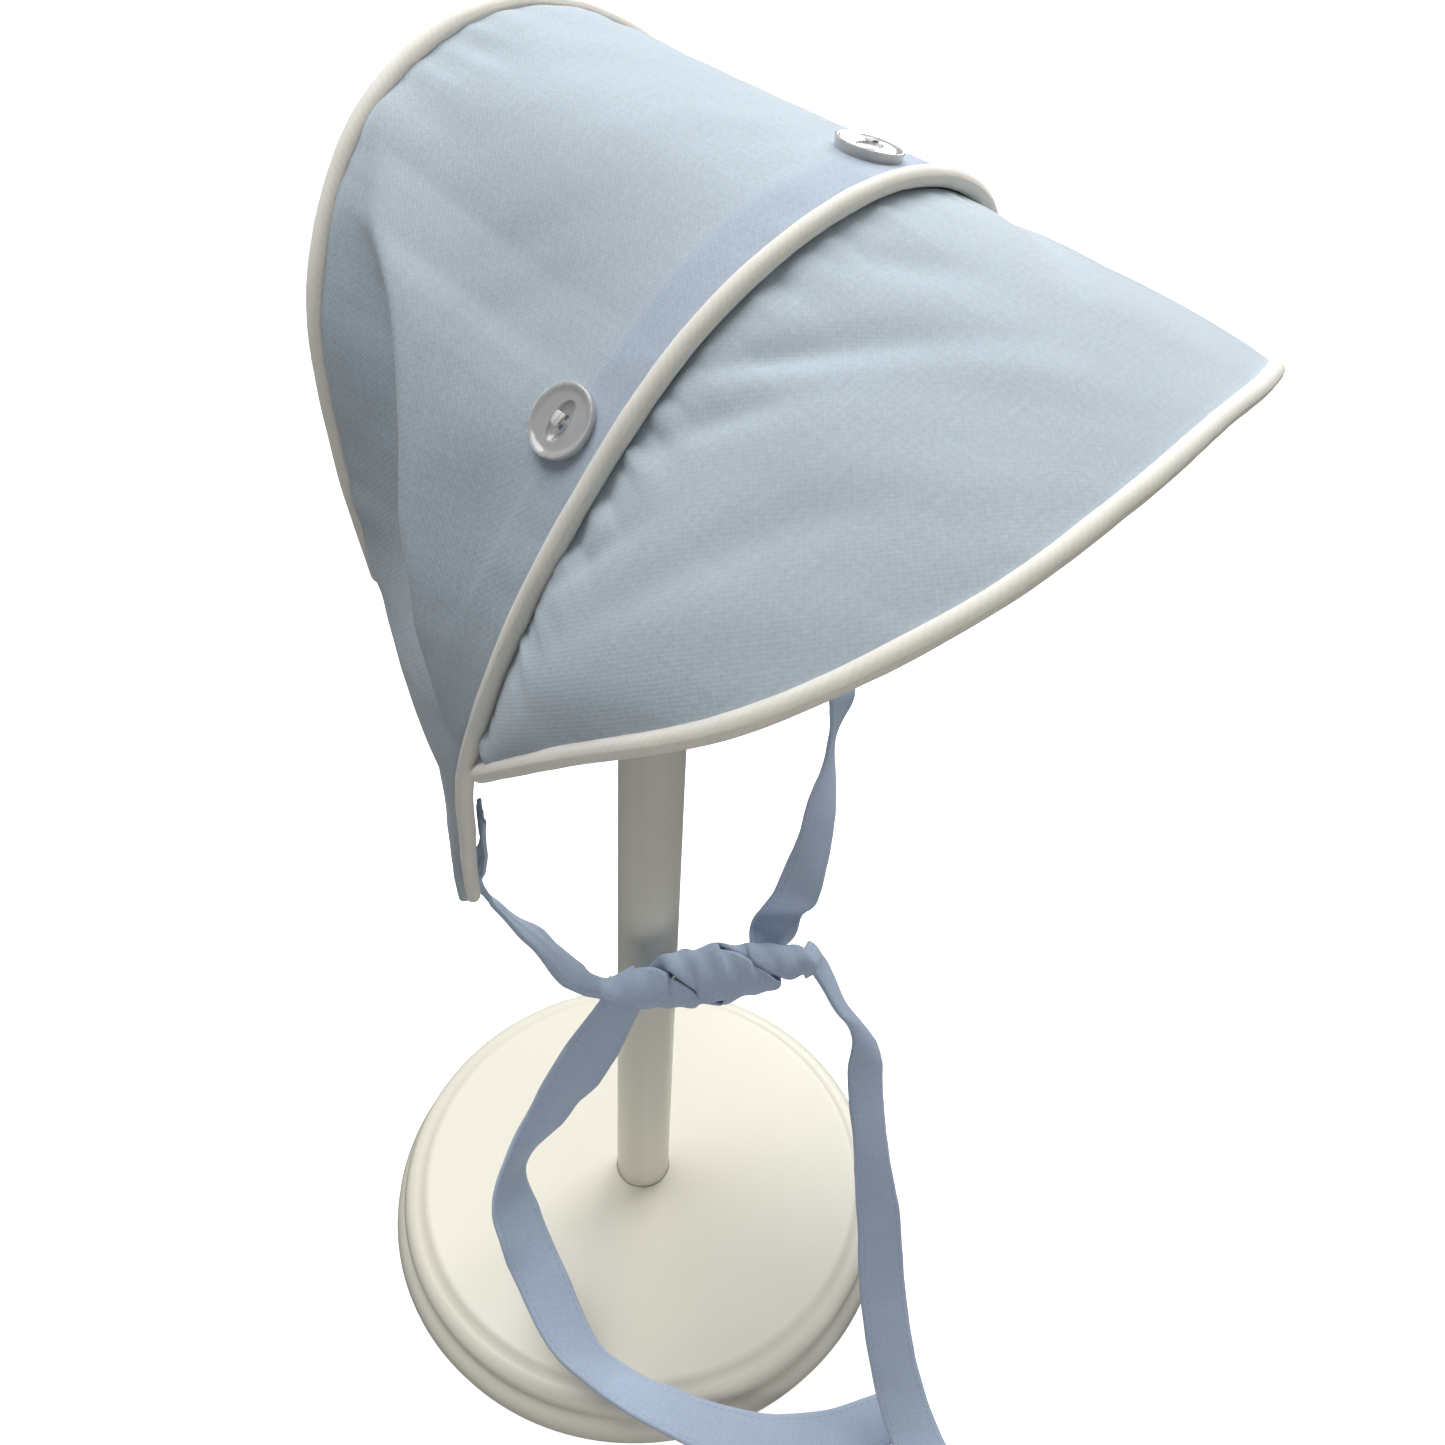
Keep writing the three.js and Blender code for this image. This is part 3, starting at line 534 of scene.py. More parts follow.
def button_place(share, settings):
    """Point on the crown's cloth under a button, the cloth's outward direction and the piping's."""
    share = np.array(share)
    width = np.linalg.norm(front_edge.at(share) - rear_point(share))
    along = np.array(1 - (BUTTON_SET_BACK + settings.piping_radius / MM) / width)
    outward = surface_normal(lambda a, b: crown_form(a, b, settings), along, share)
    point = crown_form(along, share, settings) + outward * settings.cloth_wall / MM / 2
    return point * MM, outward, front_edge.heading(share)


def brim_corner(side):
    """Where the brim's outer edge butts the front piping."""
    share = NECK_SHARE if side < 0 else 1 - NECK_SHARE
    return front_edge.at(share) - np.array([0, BRIM_CORNER_FORWARD, BRIM_CORNER_DROP])


def brim_outer_edge():
    """Outer edge of the brim, corner to corner over the tip."""
    corner = brim_corner(-1)
    forward, up = -corner[1], corner[2]
    reach = CORNER_FORWARD + FRONT_REACH + BRIM_REACH - forward
    height = CORNER_HEIGHT + FRONT_HEIGHT - BRIM_DROP - up
    between = arch(BRIM_ROWS, (forward, up), (BRIM_HALF_WIDTH, reach, height))
    return Seam([corner, *between, brim_corner(1)])


brim_edge = brim_outer_edge()


def crown_normal_at_front(across):
    """Outward direction of the crown along its front edge."""
    return surface_normal(crown_base, np.ones_like(across), across)


def brim_root(across):
    """Where the brim passes under the front piping."""
    share = NECK_SHARE + (1 - 2 * NECK_SHARE) * across
    root = front_edge.at(share)
    inward = -crown_normal_at_front(share)
    outward = square_to(brim_edge.at(across) - root, front_edge.heading(share))
    lean = np.sum(outward * inward, axis=-1, keepdims=True)
    return root + inward * BRIM_INSET / np.sqrt(1 - lean**2)


def brim_base(out, across):
    """The brim before its wrinkles: out 0 at the flap's rear edge to 1 at the brim piping."""
    share = NECK_SHARE + (1 - 2 * NECK_SHARE) * across
    root, edge = brim_root(across), brim_edge.at(across)
    back = unit(rear_point(share) - front_edge.at(share))
    tuck = (1 - out / FLAP_SHARE)[..., None]
    part = ((out - FLAP_SHARE) / (1 - FLAP_SHARE))[..., None]
    sunk = -crown_normal_at_front(share) * FLAP_SINK
    flap = root + (back * FLAP_DEPTH + sunk) * tuck
    shade = root + (edge - root) * part
    shade[..., 2] += BRIM_SWELL * np.sin(np.pi * np.clip(part[..., 0], 0, 1)) * np.sin(np.pi * across)
    sideways = np.cos(np.pi * across) * np.sin(np.pi * across) * 2
    shade[..., 0] -= BRIM_SIDE_SWELL * sideways * np.sin(np.pi * np.clip(part[..., 0], 0, 1))
    return np.where(out[..., None] < FLAP_SHARE, flap, shade)


# Dents of the brim: place as shares, size as shares, depth in millimetres and lean of the dent
BRIM_DENT_ROWS = shape_table(
    "across along wide long depth lean",
    (0.3, 0.36, 0.018, 0.1, 0.9, 0.35),
    (0.345, 0.34, 0.014, 0.1, 0.9, 0.3),
    (0.385, 0.44, 0.02, 0.16, 0.8, 0.3),
    (0.45, 0.36, 0.02, 0.12, 0.7, 0.2),
    (0.2, 0.34, 0.02, 0.08, 0.7, 0.4),
    (0.25, 0.6, 0.04, 0.12, 0.6, 0.5),
    (0.6, 0.4, 0.02, 0.14, 0.8, -0.3),
    (0.72, 0.38, 0.02, 0.12, 0.8, -0.4),
)


def brim_surface(out, across, settings):
    """Middle of the brim's cloth, with its puckers and wrinkles."""
    base = brim_base(out, across)
    normal = surface_normal(brim_base, np.clip(out, FLAP_SHARE + 0.005, 1), across)
    root, edge = brim_root(across), brim_edge.at(across)
    width = np.linalg.norm(edge - root, axis=-1)
    part = np.clip((out - FLAP_SHARE) / (1 - FLAP_SHARE), 0, 1)
    shown = ease(FLAP_SHARE, FLAP_SHARE + 0.03, out)
    from_root, from_edge = part * width, (1 - part) * width
    round_front = front_edge.length * across
    round_edge = brim_edge.length * across
    pucker, rumple = settings.pucker_depth / MM, settings.rumple_depth / MM
    offset = seam_puckers(round_front, from_root, 2.8 * pucker, 21)
    offset += seam_puckers(round_edge, from_edge, 0.45 * pucker, 25) + seam_roll(from_edge, 0.5)
    spread = np.sin(np.pi * part) ** 0.7
    offset += rumple * spread * soft_noise(round_edge, from_edge, BRIM_RUMPLE, 31)
    offset += 0.5 * rumple * spread * soft_noise(round_edge - 0.7 * from_root, from_root * 0.5, 10, 33)
    offset -= dents(BRIM_DENT_ROWS, out, across)
    return base + normal * (offset * shown)[..., None]


def back_panel_surface(out, across, settings):
    """Back panel: a fan from the middle of its lower edge (0) out to the horseshoe (1)."""
    foot = (back_edge.at(0) + back_edge.at(1)) / 2
    hub = foot - np.array([0, 0, BACK_PANEL_DIP])
    lean = back_edge.at(0.5) - foot
    backward = unit(np.cross(lean, [1, 0, 0]))
    edge = back_edge.at(across)
    bulge = BACK_PANEL_BULGE * np.sin(np.pi * across) * out * (1 - out**2) * 2.6
    length = np.linalg.norm(edge - hub, axis=-1)
    from_seam = (1 - out) * length
    round_back = back_edge.length * across
    pucker, rumple = settings.pucker_depth / MM, settings.rumple_depth / MM
    bulge = bulge + seam_puckers(round_back, from_seam, 1.2 * pucker, 41)
    wrinkles = soft_noise(round_back * out, from_seam, PANEL_RUMPLE, 43)
    bulge += rumple * np.sin(np.pi * across) * out * wrinkles
    return hub + (edge - hub) * out[..., None] + backward * bulge[..., None]


# Materials

# At this scale the crests of a wave texture lie 1 unit apart
WAVE_SCALE = 2 * math.pi / 20
STITCH_LENGTH, STITCH_HALF_WIDTH = 2.4, 0.22
PLAIN_COTTON = "pressed plain-woven cotton"


def add_node(tree, kind, inputs=None, **settings):
    """Adds a node with its settings. An input takes a value, or the socket that feeds it."""
    node = tree.nodes.new(kind)
    for name, value in settings.items():
        setattr(node, name, value)
    for name, value in (inputs or {}).items():
        if isinstance(value, bpy.types.NodeSocket):
            tree.links.new(value, node.inputs[name])
        else:
            node.inputs[name].default_value = value
    return node


def new_material(name):
    """An empty node material and its shader."""
    material = bpy.data.materials.new(name)
    material.use_nodes = True
    return material, material.node_tree, material.node_tree.nodes["Principled BSDF"]


def rgba(colour, factor=1.0):
    """A linear colour, lighter or darker by a factor, with its alpha."""
    return (*(min(1.0, c * factor) for c in colour), 1.0)


def calc(tree, operation, *values):
    """The result of a maths node."""
    return add_node(tree, "ShaderNodeMath", dict(enumerate(values)), operation=operation).outputs[0]


def noise(tree, place, scale, detail=2.0):
    """Cloudy noise between 0 and 1."""
    inputs = {"Vector": place, "Scale": scale, "Detail": detail}
    return add_node(tree, "ShaderNodeTexNoise", inputs).outputs["Fac"]


def bands(tree, place, apart, direction, distortion=0.0, **more):
    """Waves between 0 and 1 whose crests lie a distance apart."""
    inputs = {"Vector": place, "Scale": WAVE_SCALE / apart, "Distortion": distortion, **more}
    settings = {"wave_type": "BANDS", "bands_direction": direction}
    return add_node(tree, "ShaderNodeTexWave", inputs, **settings).outputs["Fac"]


def spread(tree, value, source, target):
    """A value carried from a range to another."""
    inputs = {"Value": value, "From Min": source[0], "From Max": source[1]}
    inputs.update({"To Min": target[0], "To Max": target[1]})
    return add_node(tree, "ShaderNodeMapRange", inputs).outputs[0]


def blend(tree, share, first, second):
    """A colour between two."""
    inputs = {"Factor": share, "A": first, "B": second}
    return add_node(tree, "ShaderNodeMix", inputs, data_type="RGBA").outputs["Result"]


def toned(tree, colour, tone):
    """A colour made lighter or darker by a tone around 1."""
    inputs = {0: colour, "Scale": tone}
    return add_node(tree, "ShaderNodeVectorMath", inputs, operation="SCALE").outputs[0]


def finish_shader(tree, shader, base, bump, inputs):
    """Joins a material's colour and its bump, if it has one, and sets the shader's own values."""
    tree.links.new(base, shader.inputs["Base Color"])
    if bump:
        height, strength, distance = bump
        inputs_of_bump = {"Height": height, "Strength": strength, "Distance": distance * MM}
        node = add_node(tree, "ShaderNodeBump", inputs_of_bump)
        tree.links.new(node.outputs[0], shader.inputs["Normal"])
    for name, value in inputs.items():
        shader.inputs[name].default_value = value


def woven_cotton(name, colour, spacing, doubled=None, stitch_inset=0.0):
    """Plain-woven combed cotton, dyed pale and pressed. Matt, with a soft bloom at a grazing
    angle, a fine over-and-under grain and here and there a thicker thread. Its real threads lie
    0.25 mm apart. They are drawn about twice as coarse, or they would not show."""
    material, tree, shader = new_material(name)
    place = add_node(tree, "ShaderNodeUVMap").outputs["UV"]
    apart = spacing / MM
    swings, slubs = [], []
    for direction, stretch in (("X", (0.06, 2.2, 1)), ("Y", (2.2, 0.06, 1))):
        wave = bands(tree, place, 2 * apart, direction, 2.0, **{"Detail Scale": 0.6})
        swings.append(calc(tree, "SUBTRACT", wave, 0.5))
        drawn = add_node(tree, "ShaderNodeMapping", {"Vector": place, "Scale": stretch}).outputs[0]
        slubs.append(noise(tree, drawn, 1.0))
    weave = calc(tree, "MULTIPLY", *swings)
    slub = calc(tree, "ADD", *slubs)
    grain = noise(tree, place, 0.6 / apart, 4.0)
    fade = noise(tree, place, 0.035, 3.0)
    base = blend(tree, fade, rgba(colour, 0.95), rgba(colour, 1.05))
    # Painted shade: with a second colour given, the strip behind the front piping is painted darker and
    # bluer
    if doubled is not None:
        seam_shade_mask = add_node(tree, "ShaderNodeAttribute", attribute_name="doubled").outputs["Fac"]
        base = blend(tree, seam_shade_mask, base, rgba(doubled))
    slub_tone = spread(tree, slub, (0.7, 1.3), (0.955, 1.035))
    grain_tone = spread(tree, grain, (0.3, 0.7), (0.94, 1.05))
    weave_tone = spread(tree, weave, (-0.25, 0.25), (0.985, 1.01))
    tone = calc(tree, "MULTIPLY", slub_tone, calc(tree, "MULTIPLY", grain_tone, weave_tone))
    height = calc(tree, "MULTIPLY_ADD", slub, 0.25, calc(tree, "MULTIPLY_ADD", grain, 0.9, weave))
    if stitch_inset:
        edge = add_node(tree, "ShaderNodeAttribute", attribute_name="from_edge").outputs["Fac"]
        line = calc(tree, "COMPARE", edge, stitch_inset, STITCH_HALF_WIDTH)
        sewn = calc(tree, "GREATER_THAN", bands(tree, place, STITCH_LENGTH, "X"), 0.3)
        tone = calc(tree, "MULTIPLY_ADD", calc(tree, "MULTIPLY", line, sewn), -0.12, tone)
        height = calc(tree, "MULTIPLY_ADD", line, -0.8, height)
    sheen = {"Sheen Weight": 0.18, "Sheen Roughness": 0.45}
    inputs = {"Roughness": 0.82, "Specular IOR Level": 0.25, **sheen}
    finish_shader(tree, shader, toned(tree, base, tone), (height, 0.14, 0.4), inputs)
    return material


def brushed_piping_cotton(colour):
    """Bias-cut cotton drawn over a soft cord. Matt and slightly furry, with the threads running
    slantwise round it, and a little lumpy."""
    material, tree, shader = new_material("brushed piping cotton")
    place = add_node(tree, "ShaderNodeUVMap").outputs["UV"]
    threads = bands(tree, place, 0.75, "DIAGONAL", 1.2, Detail=2.0)
    base = blend(tree, noise(tree, place, 0.08), rgba(colour, 0.95), rgba(colour, 1.0))
    tone = spread(tree, threads, (0, 1), (0.985, 1.01))
    height = calc(tree, "MULTIPLY_ADD", noise(tree, place, 1.6, 6.0), 1.6, threads)
    inputs = {
        "Roughness": 0.9,
        "Specular IOR Level": 0.2,
        "Subsurface Weight": 0.7,
        "Subsurface Radius": (1, 0.85, 0.7),
        "Subsurface Scale": 3 * MM,
        "Sheen Weight": 0.3,
        "Sheen Roughness": 0.5,
    }
    finish_shader(tree, shader, toned(tree, base, tone), (height, 0.14, 0.2), inputs)
    return material


def painted_wood(colour):
    """Turned wood under sprayed satin lacquer. Smooth and softly shiny, with a faint ripple from
    the spray, a little yellowing in patches, and duller where the yellowing is."""
    material, tree, shader = new_material("satin painted wood")
    place = add_node(tree, "ShaderNodeTexCoord").outputs["Object"]
    patches = noise(tree, place, 22.0, 3.0)
    base = blend(tree, patches, rgba(colour, 0.97), rgba(colour, 1.02))
    tree.links.new(spread(tree, patches, (0, 1), (0.35, 0.29)), shader.inputs["Roughness"])
    finish_shader(tree, shader, base, (noise(tree, place, 420.0), 0.025, 0.3), {"IOR": 1.48})
    return material


def moulded_button_resin(colour):
    """Cast polyester button, turned and tumbled to a polish. Cloudy and glassy: light gets a
    little way in, and the rim catches small sharp highlights."""
    material, tree, shader = new_material("translucent button resin")
    place = add_node(tree, "ShaderNodeTexCoord").outputs["Object"]
    base = blend(tree, noise(tree, place, 260.0, 3.0), rgba(colour, 0.9), rgba(colour, 1.12))
    inputs = {
        "Roughness": 0.08,
        "IOR": 1.56,
        "Transmission Weight": 0.12,
        "Subsurface Weight": 0.4,
        "Subsurface Radius": (1, 1, 1),
        "Subsurface Scale": 2 * MM,
        "Coat Weight": 0.5,
    }
    finish_shader(tree, shader, base, (noise(tree, place, 900.0), 0.3, 0.15), inputs)
    return material


def sewing_thread(colour):
    """Two-ply cotton sewing thread. Matt with a slight twist."""
    material, tree, shader = new_material("cotton sewing thread")
    place = add_node(tree, "ShaderNodeTexCoord").outputs["Object"]
    twist = bands(tree, place, WAVE_SCALE / 900, "DIAGONAL", 0.5)
    base = blend(tree, twist, rgba(colour, 0.85), rgba(colour))
    finish_shader(tree, shader, base, None, {"Roughness": 0.75})
    return material


# Pieces


def share_grid(size, first=0.0):
    """Shares from 0 to 1 across a grid, and from the first up to 1 along it."""
    return np.meshgrid(np.linspace(0, 1, size[0]), np.linspace(first, 1, size[1]))


def cloth_piece(points, wall, name, material, node, attribute=None):
    """A sewn piece of cloth from a grid of points in millimetres, with its wall."""
    along = stroked(points)
    across = stroked(points.transpose(1, 0, 2)).T
    uv = np.stack([np.broadcast_to(along.mean(0), along.shape), across], axis=-1)
    piece, row, column = grid_piece(points * MM, uv)
    if attribute:
        label, values = attribute
        point_attribute(piece, label, values[row, column])
    apply_modifier(piece, "SOLIDIFY", thickness=wall, offset=0.0, use_even_offset=False)
    finish_piece(piece, name, material, node)
    return piece


class BONNET_OT_crown(bpy.types.Operator):
    """Sews the crown, from the horseshoe's piping to the front piping, with its deep folds"""

    bl_idname = "bonnet.crown"
    bl_label = "Crown"

    def execute(self, context):
        settings = context.scene.bonnet
        across, along = share_grid(CROWN_GRID)
        width = np.linalg.norm(front_edge.at(across) - rear_point(across), axis=-1)
        from_front = (1 - along) * width
        # The strip behind the front piping, which the cotton paints darker and bluer as painted shade
        reach = ease(*SEAM_SHADE_REACH, np.minimum(across, 1 - across))
        doubled = reach * (1 - ease(SHOWN_ALLOWANCE - 1, SHOWN_ALLOWANCE + 0.8, from_front))
        points, shown = crown_surface(along, across, settings), ("doubled", 0.8 * doubled)
        spacing = settings.thread_spacing
        cotton = woven_cotton(PLAIN_COTTON, settings.cotton, spacing, settings.front_seam_shade_colour)
        crown = cloth_piece(points, settings.cloth_wall, "sewn_crown", cotton, "crown", shown)
        return {"FINISHED"}


class BONNET_OT_back_panel(bpy.types.Operator):
    """Sews the back panel inside the horseshoe"""

    bl_idname = "bonnet.back_panel"
    bl_label = "Back panel"

    def execute(self, context):
        settings = context.scene.bonnet
        across, out = share_grid(PANEL_GRID, PANEL_MIDDLE)
        points = back_panel_surface(out, across, settings)
        cotton = bpy.data.materials[PLAIN_COTTON]
        panel = cloth_piece(points, settings.cloth_wall, "sewn_back_panel", cotton, "back_panel")
        return {"FINISHED"}


class BONNET_OT_brim(bpy.types.Operator):
    """Sews the brim with its flap, which runs under the front piping and the crown"""

    bl_idname = "bonnet.brim"
    bl_label = "Brim"

    def execute(self, context):
        settings = context.scene.bonnet
        across, out = share_grid(BRIM_GRID)
        points = brim_surface(out, across, settings)
        cotton = bpy.data.materials[PLAIN_COTTON]
        brim = cloth_piece(points, settings.cloth_wall, "sewn_brim", cotton, "brim")
        return {"FINISHED"}


def piping_tube(seam, radius, name, material, node, seed):
    """A filled piping cord along a seam, slightly uneven, with round ends."""
    steps, sides = PIPING_GRID
    shares = np.linspace(0, 1, steps + 1)
    middle = seam.at(shares)
    heading = seam.heading(np.clip(shares, 1e-3, 1 - 1e-3))
    walked = stroked(middle[None])[0]
    across = unit(np.cross(heading, [0.13, 0.2, 0.97]))
    for _ in range(3):
        across = square_to(across, heading)
    up = np.cross(heading, across)
    total = walked[-1]
    from_end = np.minimum(walked, total - walked)
    cap = np.sqrt(np.clip(1 - (1 - np.clip(from_end / radius, 0, 1)) ** 2, 0, 1))
    turn = np.linspace(0, 2 * np.pi, sides + 1)
    lump = soft_noise(walked, 0.0, 7, seed) * 0.03
    ring = radius * cap * (1 + lump)
    twist = 0.02 * soft_noise(walked[:, None], 3 * turn, 2.5, seed + 1)
    reach = ring[:, None] * (1 + twist)
    points = (
        middle[:, None]
        + across[:, None] * (np.cos(turn)[None] * reach)[..., None]
        + up[:, None] * (np.sin(turn)[None] * reach)[..., None]
    )
    uv = np.stack(np.broadcast_arrays(walked[:, None], turn[None] * radius), axis=-1)
    piece, _, _ = grid_piece(points * MM, uv, closed=True)
    return finish_piece(piece, name, material, node)


class BONNET_OT_pipings(bpy.types.Operator):
    """Lays the three pipings: round the horseshoe, along the front and along the brim"""

    bl_idname = "bonnet.pipings"
    bl_label = "Pipings"

    def execute(self, context):
        settings = context.scene.bonnet
        material = brushed_piping_cotton(settings.piping)
        radius = settings.piping_radius / MM
        for seam, name, node, seed in (
            (front_edge, "front_piping_cord", "front_piping", 51),
            (back_edge, "back_piping_cord", "back_piping", 53),
            (brim_edge, "brim_piping_cord", "brim_piping", 55),
        ):
            piping_tube(seam, radius, name, material, node, seed)
        return {"FINISHED"}


# Button: sizes as shares of its radius, or of its height for depths and heights
BACK_TAPER, RIM_WIDTH, RIM_SLOPE, RIM_BEVEL, FACE_SINK = 0.93, 0.09, 0.13, 0.09, 0.13
PRESS_LENGTH, PRESS_WIDTH, PRESS_DEPTH, PRESS_HEIGHT = 0.58, 0.32, 0.3, 0.9
HOLE_RADIUS, HOLE_PLACE = 0.08, 0.13
STRAND_REACH, STRAND_RADIUS, STRAND_SPACING, STRAND_HEIGHT = 0.14, 0.065, 0.085, 0.6


class BONNET_OT_buttons(bpy.types.Operator):
    """Turns one button with its long hollow and sews three of them behind the front piping"""

    bl_idname = "bonnet.buttons"
    bl_label = "Buttons"

    def execute(self, context):
        settings = context.scene.bonnet
        resin = moulded_button_resin(settings.button)
        thread = sewing_thread(settings.thread)
        radius, height = settings.button_radius, settings.button_height
        for side, share in zip(("right", "top", "left"), BUTTON_SHARES):
            node = "button_" + side
            button, bar = self.turned_button(radius, height), self.thread_bar(radius, height)
            for piece in (button, bar):
                piece.matrix_world = self.sewn_frame(share, settings)
            bpy.context.view_layer.update()
            finish_piece(button, "resin_" + node, resin, node)
            finish_piece(bar, "thread_" + side, thread)
        return {"FINISHED"}

    def sewn_frame(self, share, settings):
        """Place and tilt of a button: its back is the origin, its face is +Z and +X runs along
        the front piping, which is read at a share of its length."""
        place, axis, edgeways = button_place(share, settings)
        edgeways = square_to(edgeways, axis)
        turned = np.column_stack([edgeways, np.cross(axis, edgeways), axis])
        return Matrix.Translation(Vector(place)) @ Matrix(turned.tolist()).to_4x4()

    def turned_button(self, radius, height):
        """A disc whose face is inset and sunk in edit mode, then bevelled, with a long hollow
        pressed into it and two holes drilled through."""
        cylinder, sphere = bpy.ops.mesh.primitive_cylinder_add, bpy.ops.mesh.primitive_uv_sphere_add
        middle = (0, 0, height / 2)
        button = added(cylinder, vertices=72, radius=radius, depth=height, location=middle)
        select_faces(button, lambda face: face.normal.z < -0.9)
        bpy.ops.transform.resize(value=(BACK_TAPER, BACK_TAPER, 1))
        select_faces(button, lambda face: face.normal.z > 0.9)
        bpy.ops.mesh.inset(thickness=RIM_WIDTH * radius)
        bpy.ops.mesh.inset(thickness=RIM_SLOPE * radius)
        bpy.ops.transform.translate(value=(0, 0, -FACE_SINK * height))
        bpy.ops.object.mode_set(mode="OBJECT")
        bevel(button, RIM_BEVEL * radius, 4, 0.35)
        press = added(sphere, segments=48, ring_count=24, radius=1, location=(0, 0, PRESS_HEIGHT * height))
        press.scale = (PRESS_LENGTH * radius, PRESS_WIDTH * radius, PRESS_DEPTH * height)
        self.cut(button, press)
        for side in (-1, 1):
            place, hole = (side * HOLE_PLACE * radius, 0, 0), HOLE_RADIUS * radius
            self.cut(button, added(cylinder, vertices=16, radius=hole, depth=3 * height, location=place))
        activate(button)
        bpy.ops.object.shade_smooth_by_angle(angle=math.radians(34))
        return button

    def cut(self, button, tool):
        """Cuts a tool's shape out of a button and takes the tool away."""
        apply_modifier(button, "BOOLEAN", object=tool, operation="DIFFERENCE", solver="EXACT")
        bpy.data.objects.remove(tool)

    def thread_bar(self, radius, height):
        """The thread that holds a button: a few strands side by side through the two holes."""
        parts = []
        for lane in (-1, 0, 1):
            strand = added(
                bpy.ops.mesh.primitive_torus_add,
                major_radius=STRAND_REACH * radius,
                minor_radius=STRAND_RADIUS * radius,
                major_segments=32,
                minor_segments=10,
                location=(0, lane * STRAND_SPACING * radius, STRAND_HEIGHT * height),
                rotation=(math.pi / 2, 0, 0.12 * lane),
            )
            strand.scale = (1, 0.24 + 0.06 * (lane == 0), 1)
            bpy.ops.object.transform_apply(location=True, rotation=True, scale=True)
            parts.append(strand)
        deselect()
        for part in parts:
            part.select_set(True)
        bpy.context.view_layer.objects.active = parts[0]
        bpy.ops.object.join()
        bpy.ops.object.shade_smooth()
        return parts[0]


# Ties: stations of the route, each with the heading of its width, its width and its curl

TIE_WIDTH, TIE_GATHER, TIE_PEEK, TIE_SEW_SHARE = 15, 0.35, 0.3, 0.12
KNOT_HEIGHT, KNOT_LENGTH, KNOT_HEADING, KNOT_SLIDE = 125, 53, -38.6, 12
KNOT_WRAP, KNOT_START, KNOT_TURN, KNOT_CLEARANCE = 123, -50, 430, 2
KNOT_WIDE, KNOT_END_SHARE = 1.4, 0.45
CAD_TIE_WALL, POST_RADIUS, BASE_RADIUS = 1.1, 7.9, 76.2
knot_radius = TIE_WIDTH / math.radians(KNOT_WRAP)
knot_stand_off = POST_RADIUS + knot_radius + CAD_TIE_WALL / 2 + KNOT_CLEARANCE
knot_axis = np.array([math.cos(math.radians(KNOT_HEADING)), math.sin(math.radians(KNOT_HEADING)), 0])
knot_front = np.array([knot_axis[1], -knot_axis[0], 0])
knot_middle = knot_front * knot_stand_off + knot_axis * KNOT_SLIDE + np.array([0, 0, KNOT_HEIGHT])
knot_face = unit(knot_front * 0.64 + np.array([0, 0, 0.77]))
knot_under = np.cross(knot_axis, knot_face)

RIGHT_UPPER_ROWS = shape_table(
    "x y z swing dip wide curl",
    (0.2, 0.15, 0.24, 38, 40, 0.5, 10),
    (0.46, 0.43, 0.48, 25, 30, 0.7, 20),
    (0.75, 0.82, 0.78, 27, 20, 0.85, 60),
)
RIGHT_TAIL_ROWS = shape_table(
    "x y z swing dip curl",
    (0.335, -0.5, 0.965, 15, 36, 90),
    (0.328, -0.614, 0.88, 16, 43, 50),
    (0.346, -0.72, 0.8, -17, 47, 30),
    (0.3, -0.764, 0.73, -21, 33, 20),
    (0.215, -0.874, 0.584, -18, 33, 15),
    (0.167, -0.97, 0.432, -38, 28, 10),
    (0.068, -1.09, 0.28, -35, 21, 10),
    (-0.017, -1.203, 0.176, -37, 20, 10),
    (-0.077, -1.31, 0.095, -42, 14, 10),
    (-0.121, -1.405, 0.045, -44, 8, 10),
    (-0.16, -1.5, 0.02, -44, 3, 5),
)
LEFT_UPPER_ROWS = shape_table(
    "x y z swing dip wide curl",
    (-0.5, 0.5, -0.42, 5, 40, 0.7, 10),
    (-0.5, 0.602, -0.3, 5, 20, 1, 10),
    (-0.383, 0.61, 0.049, 23, 20, 1, 10),
    (0.27, 0.773, 0.341, -13, 40, 1, 15),
    (0.79, 0.842, 0.683, -31, 31, 1, 40),
    (0.785, 0.737, 1.04, -31, 10, 1, 50),
)
LEFT_TAIL_ROWS = shape_table(
    "x y z swing dip curl",
    (-0.217, -0.087, 0.92, -26, 46, 60),
    (-0.338, -0.014, 0.776, -50, 45, 20),
    (-0.454, 0.055, 0.632, -20, 28, 10),
    (-0.645, 0.067, 0.512, 11, 15, 10),
    (-0.691, -0.021, 0.44, -1, 16, 10),
    (-0.732, -0.172, 0.336, -26, 22, 10),
    (-0.773, -0.358, 0.248, -29, 28, 10),
    (-0.752, -0.484, 0.21, -13, 32, 10),
    (-0.698, -0.703, 0.19, 3, 24, 10),
    (-0.556, -0.957, 0.12, 23, 10, 10),
    (-0.36, -1.13, 0.05, 27, 4, 8),
    (-0.17, -1.25, 0.022, 30, 0, 5),
    (-0.09, -1.3, 0.016, 30, 0, 5),
)


def station(point, row):
    """A station outside the knot: its width points along a compass heading and dips down."""
    swing, dip = math.radians(row["swing"]), math.radians(row["dip"])
    width = [math.cos(dip) * math.cos(swing), math.cos(dip) * math.sin(swing), -math.sin(dip)]
    return {"point": point, "width": width, "wide": row.get("wide", 1), "curl": row["curl"]}


def knot_station(share, phase, flip):
    """A station inside the knot, from its right end (0) to its left (1)."""
    turn = math.radians(KNOT_START + KNOT_TURN * share + phase)
    out = knot_face * math.cos(turn) + knot_under * math.sin(turn)
    width = (knot_under * math.cos(turn) - knot_face * math.sin(turn)) * flip
    taper = KNOT_END_SHARE + (1 - KNOT_END_SHARE) * math.sin(math.pi * share)
    point = knot_middle + knot_axis * (share - 0.5) * KNOT_LENGTH + out * knot_radius * taper
    return {"point": point, "width": width, "wide": KNOT_WIDE * taper, "curl": KNOT_WIDE * KNOT_WRAP}


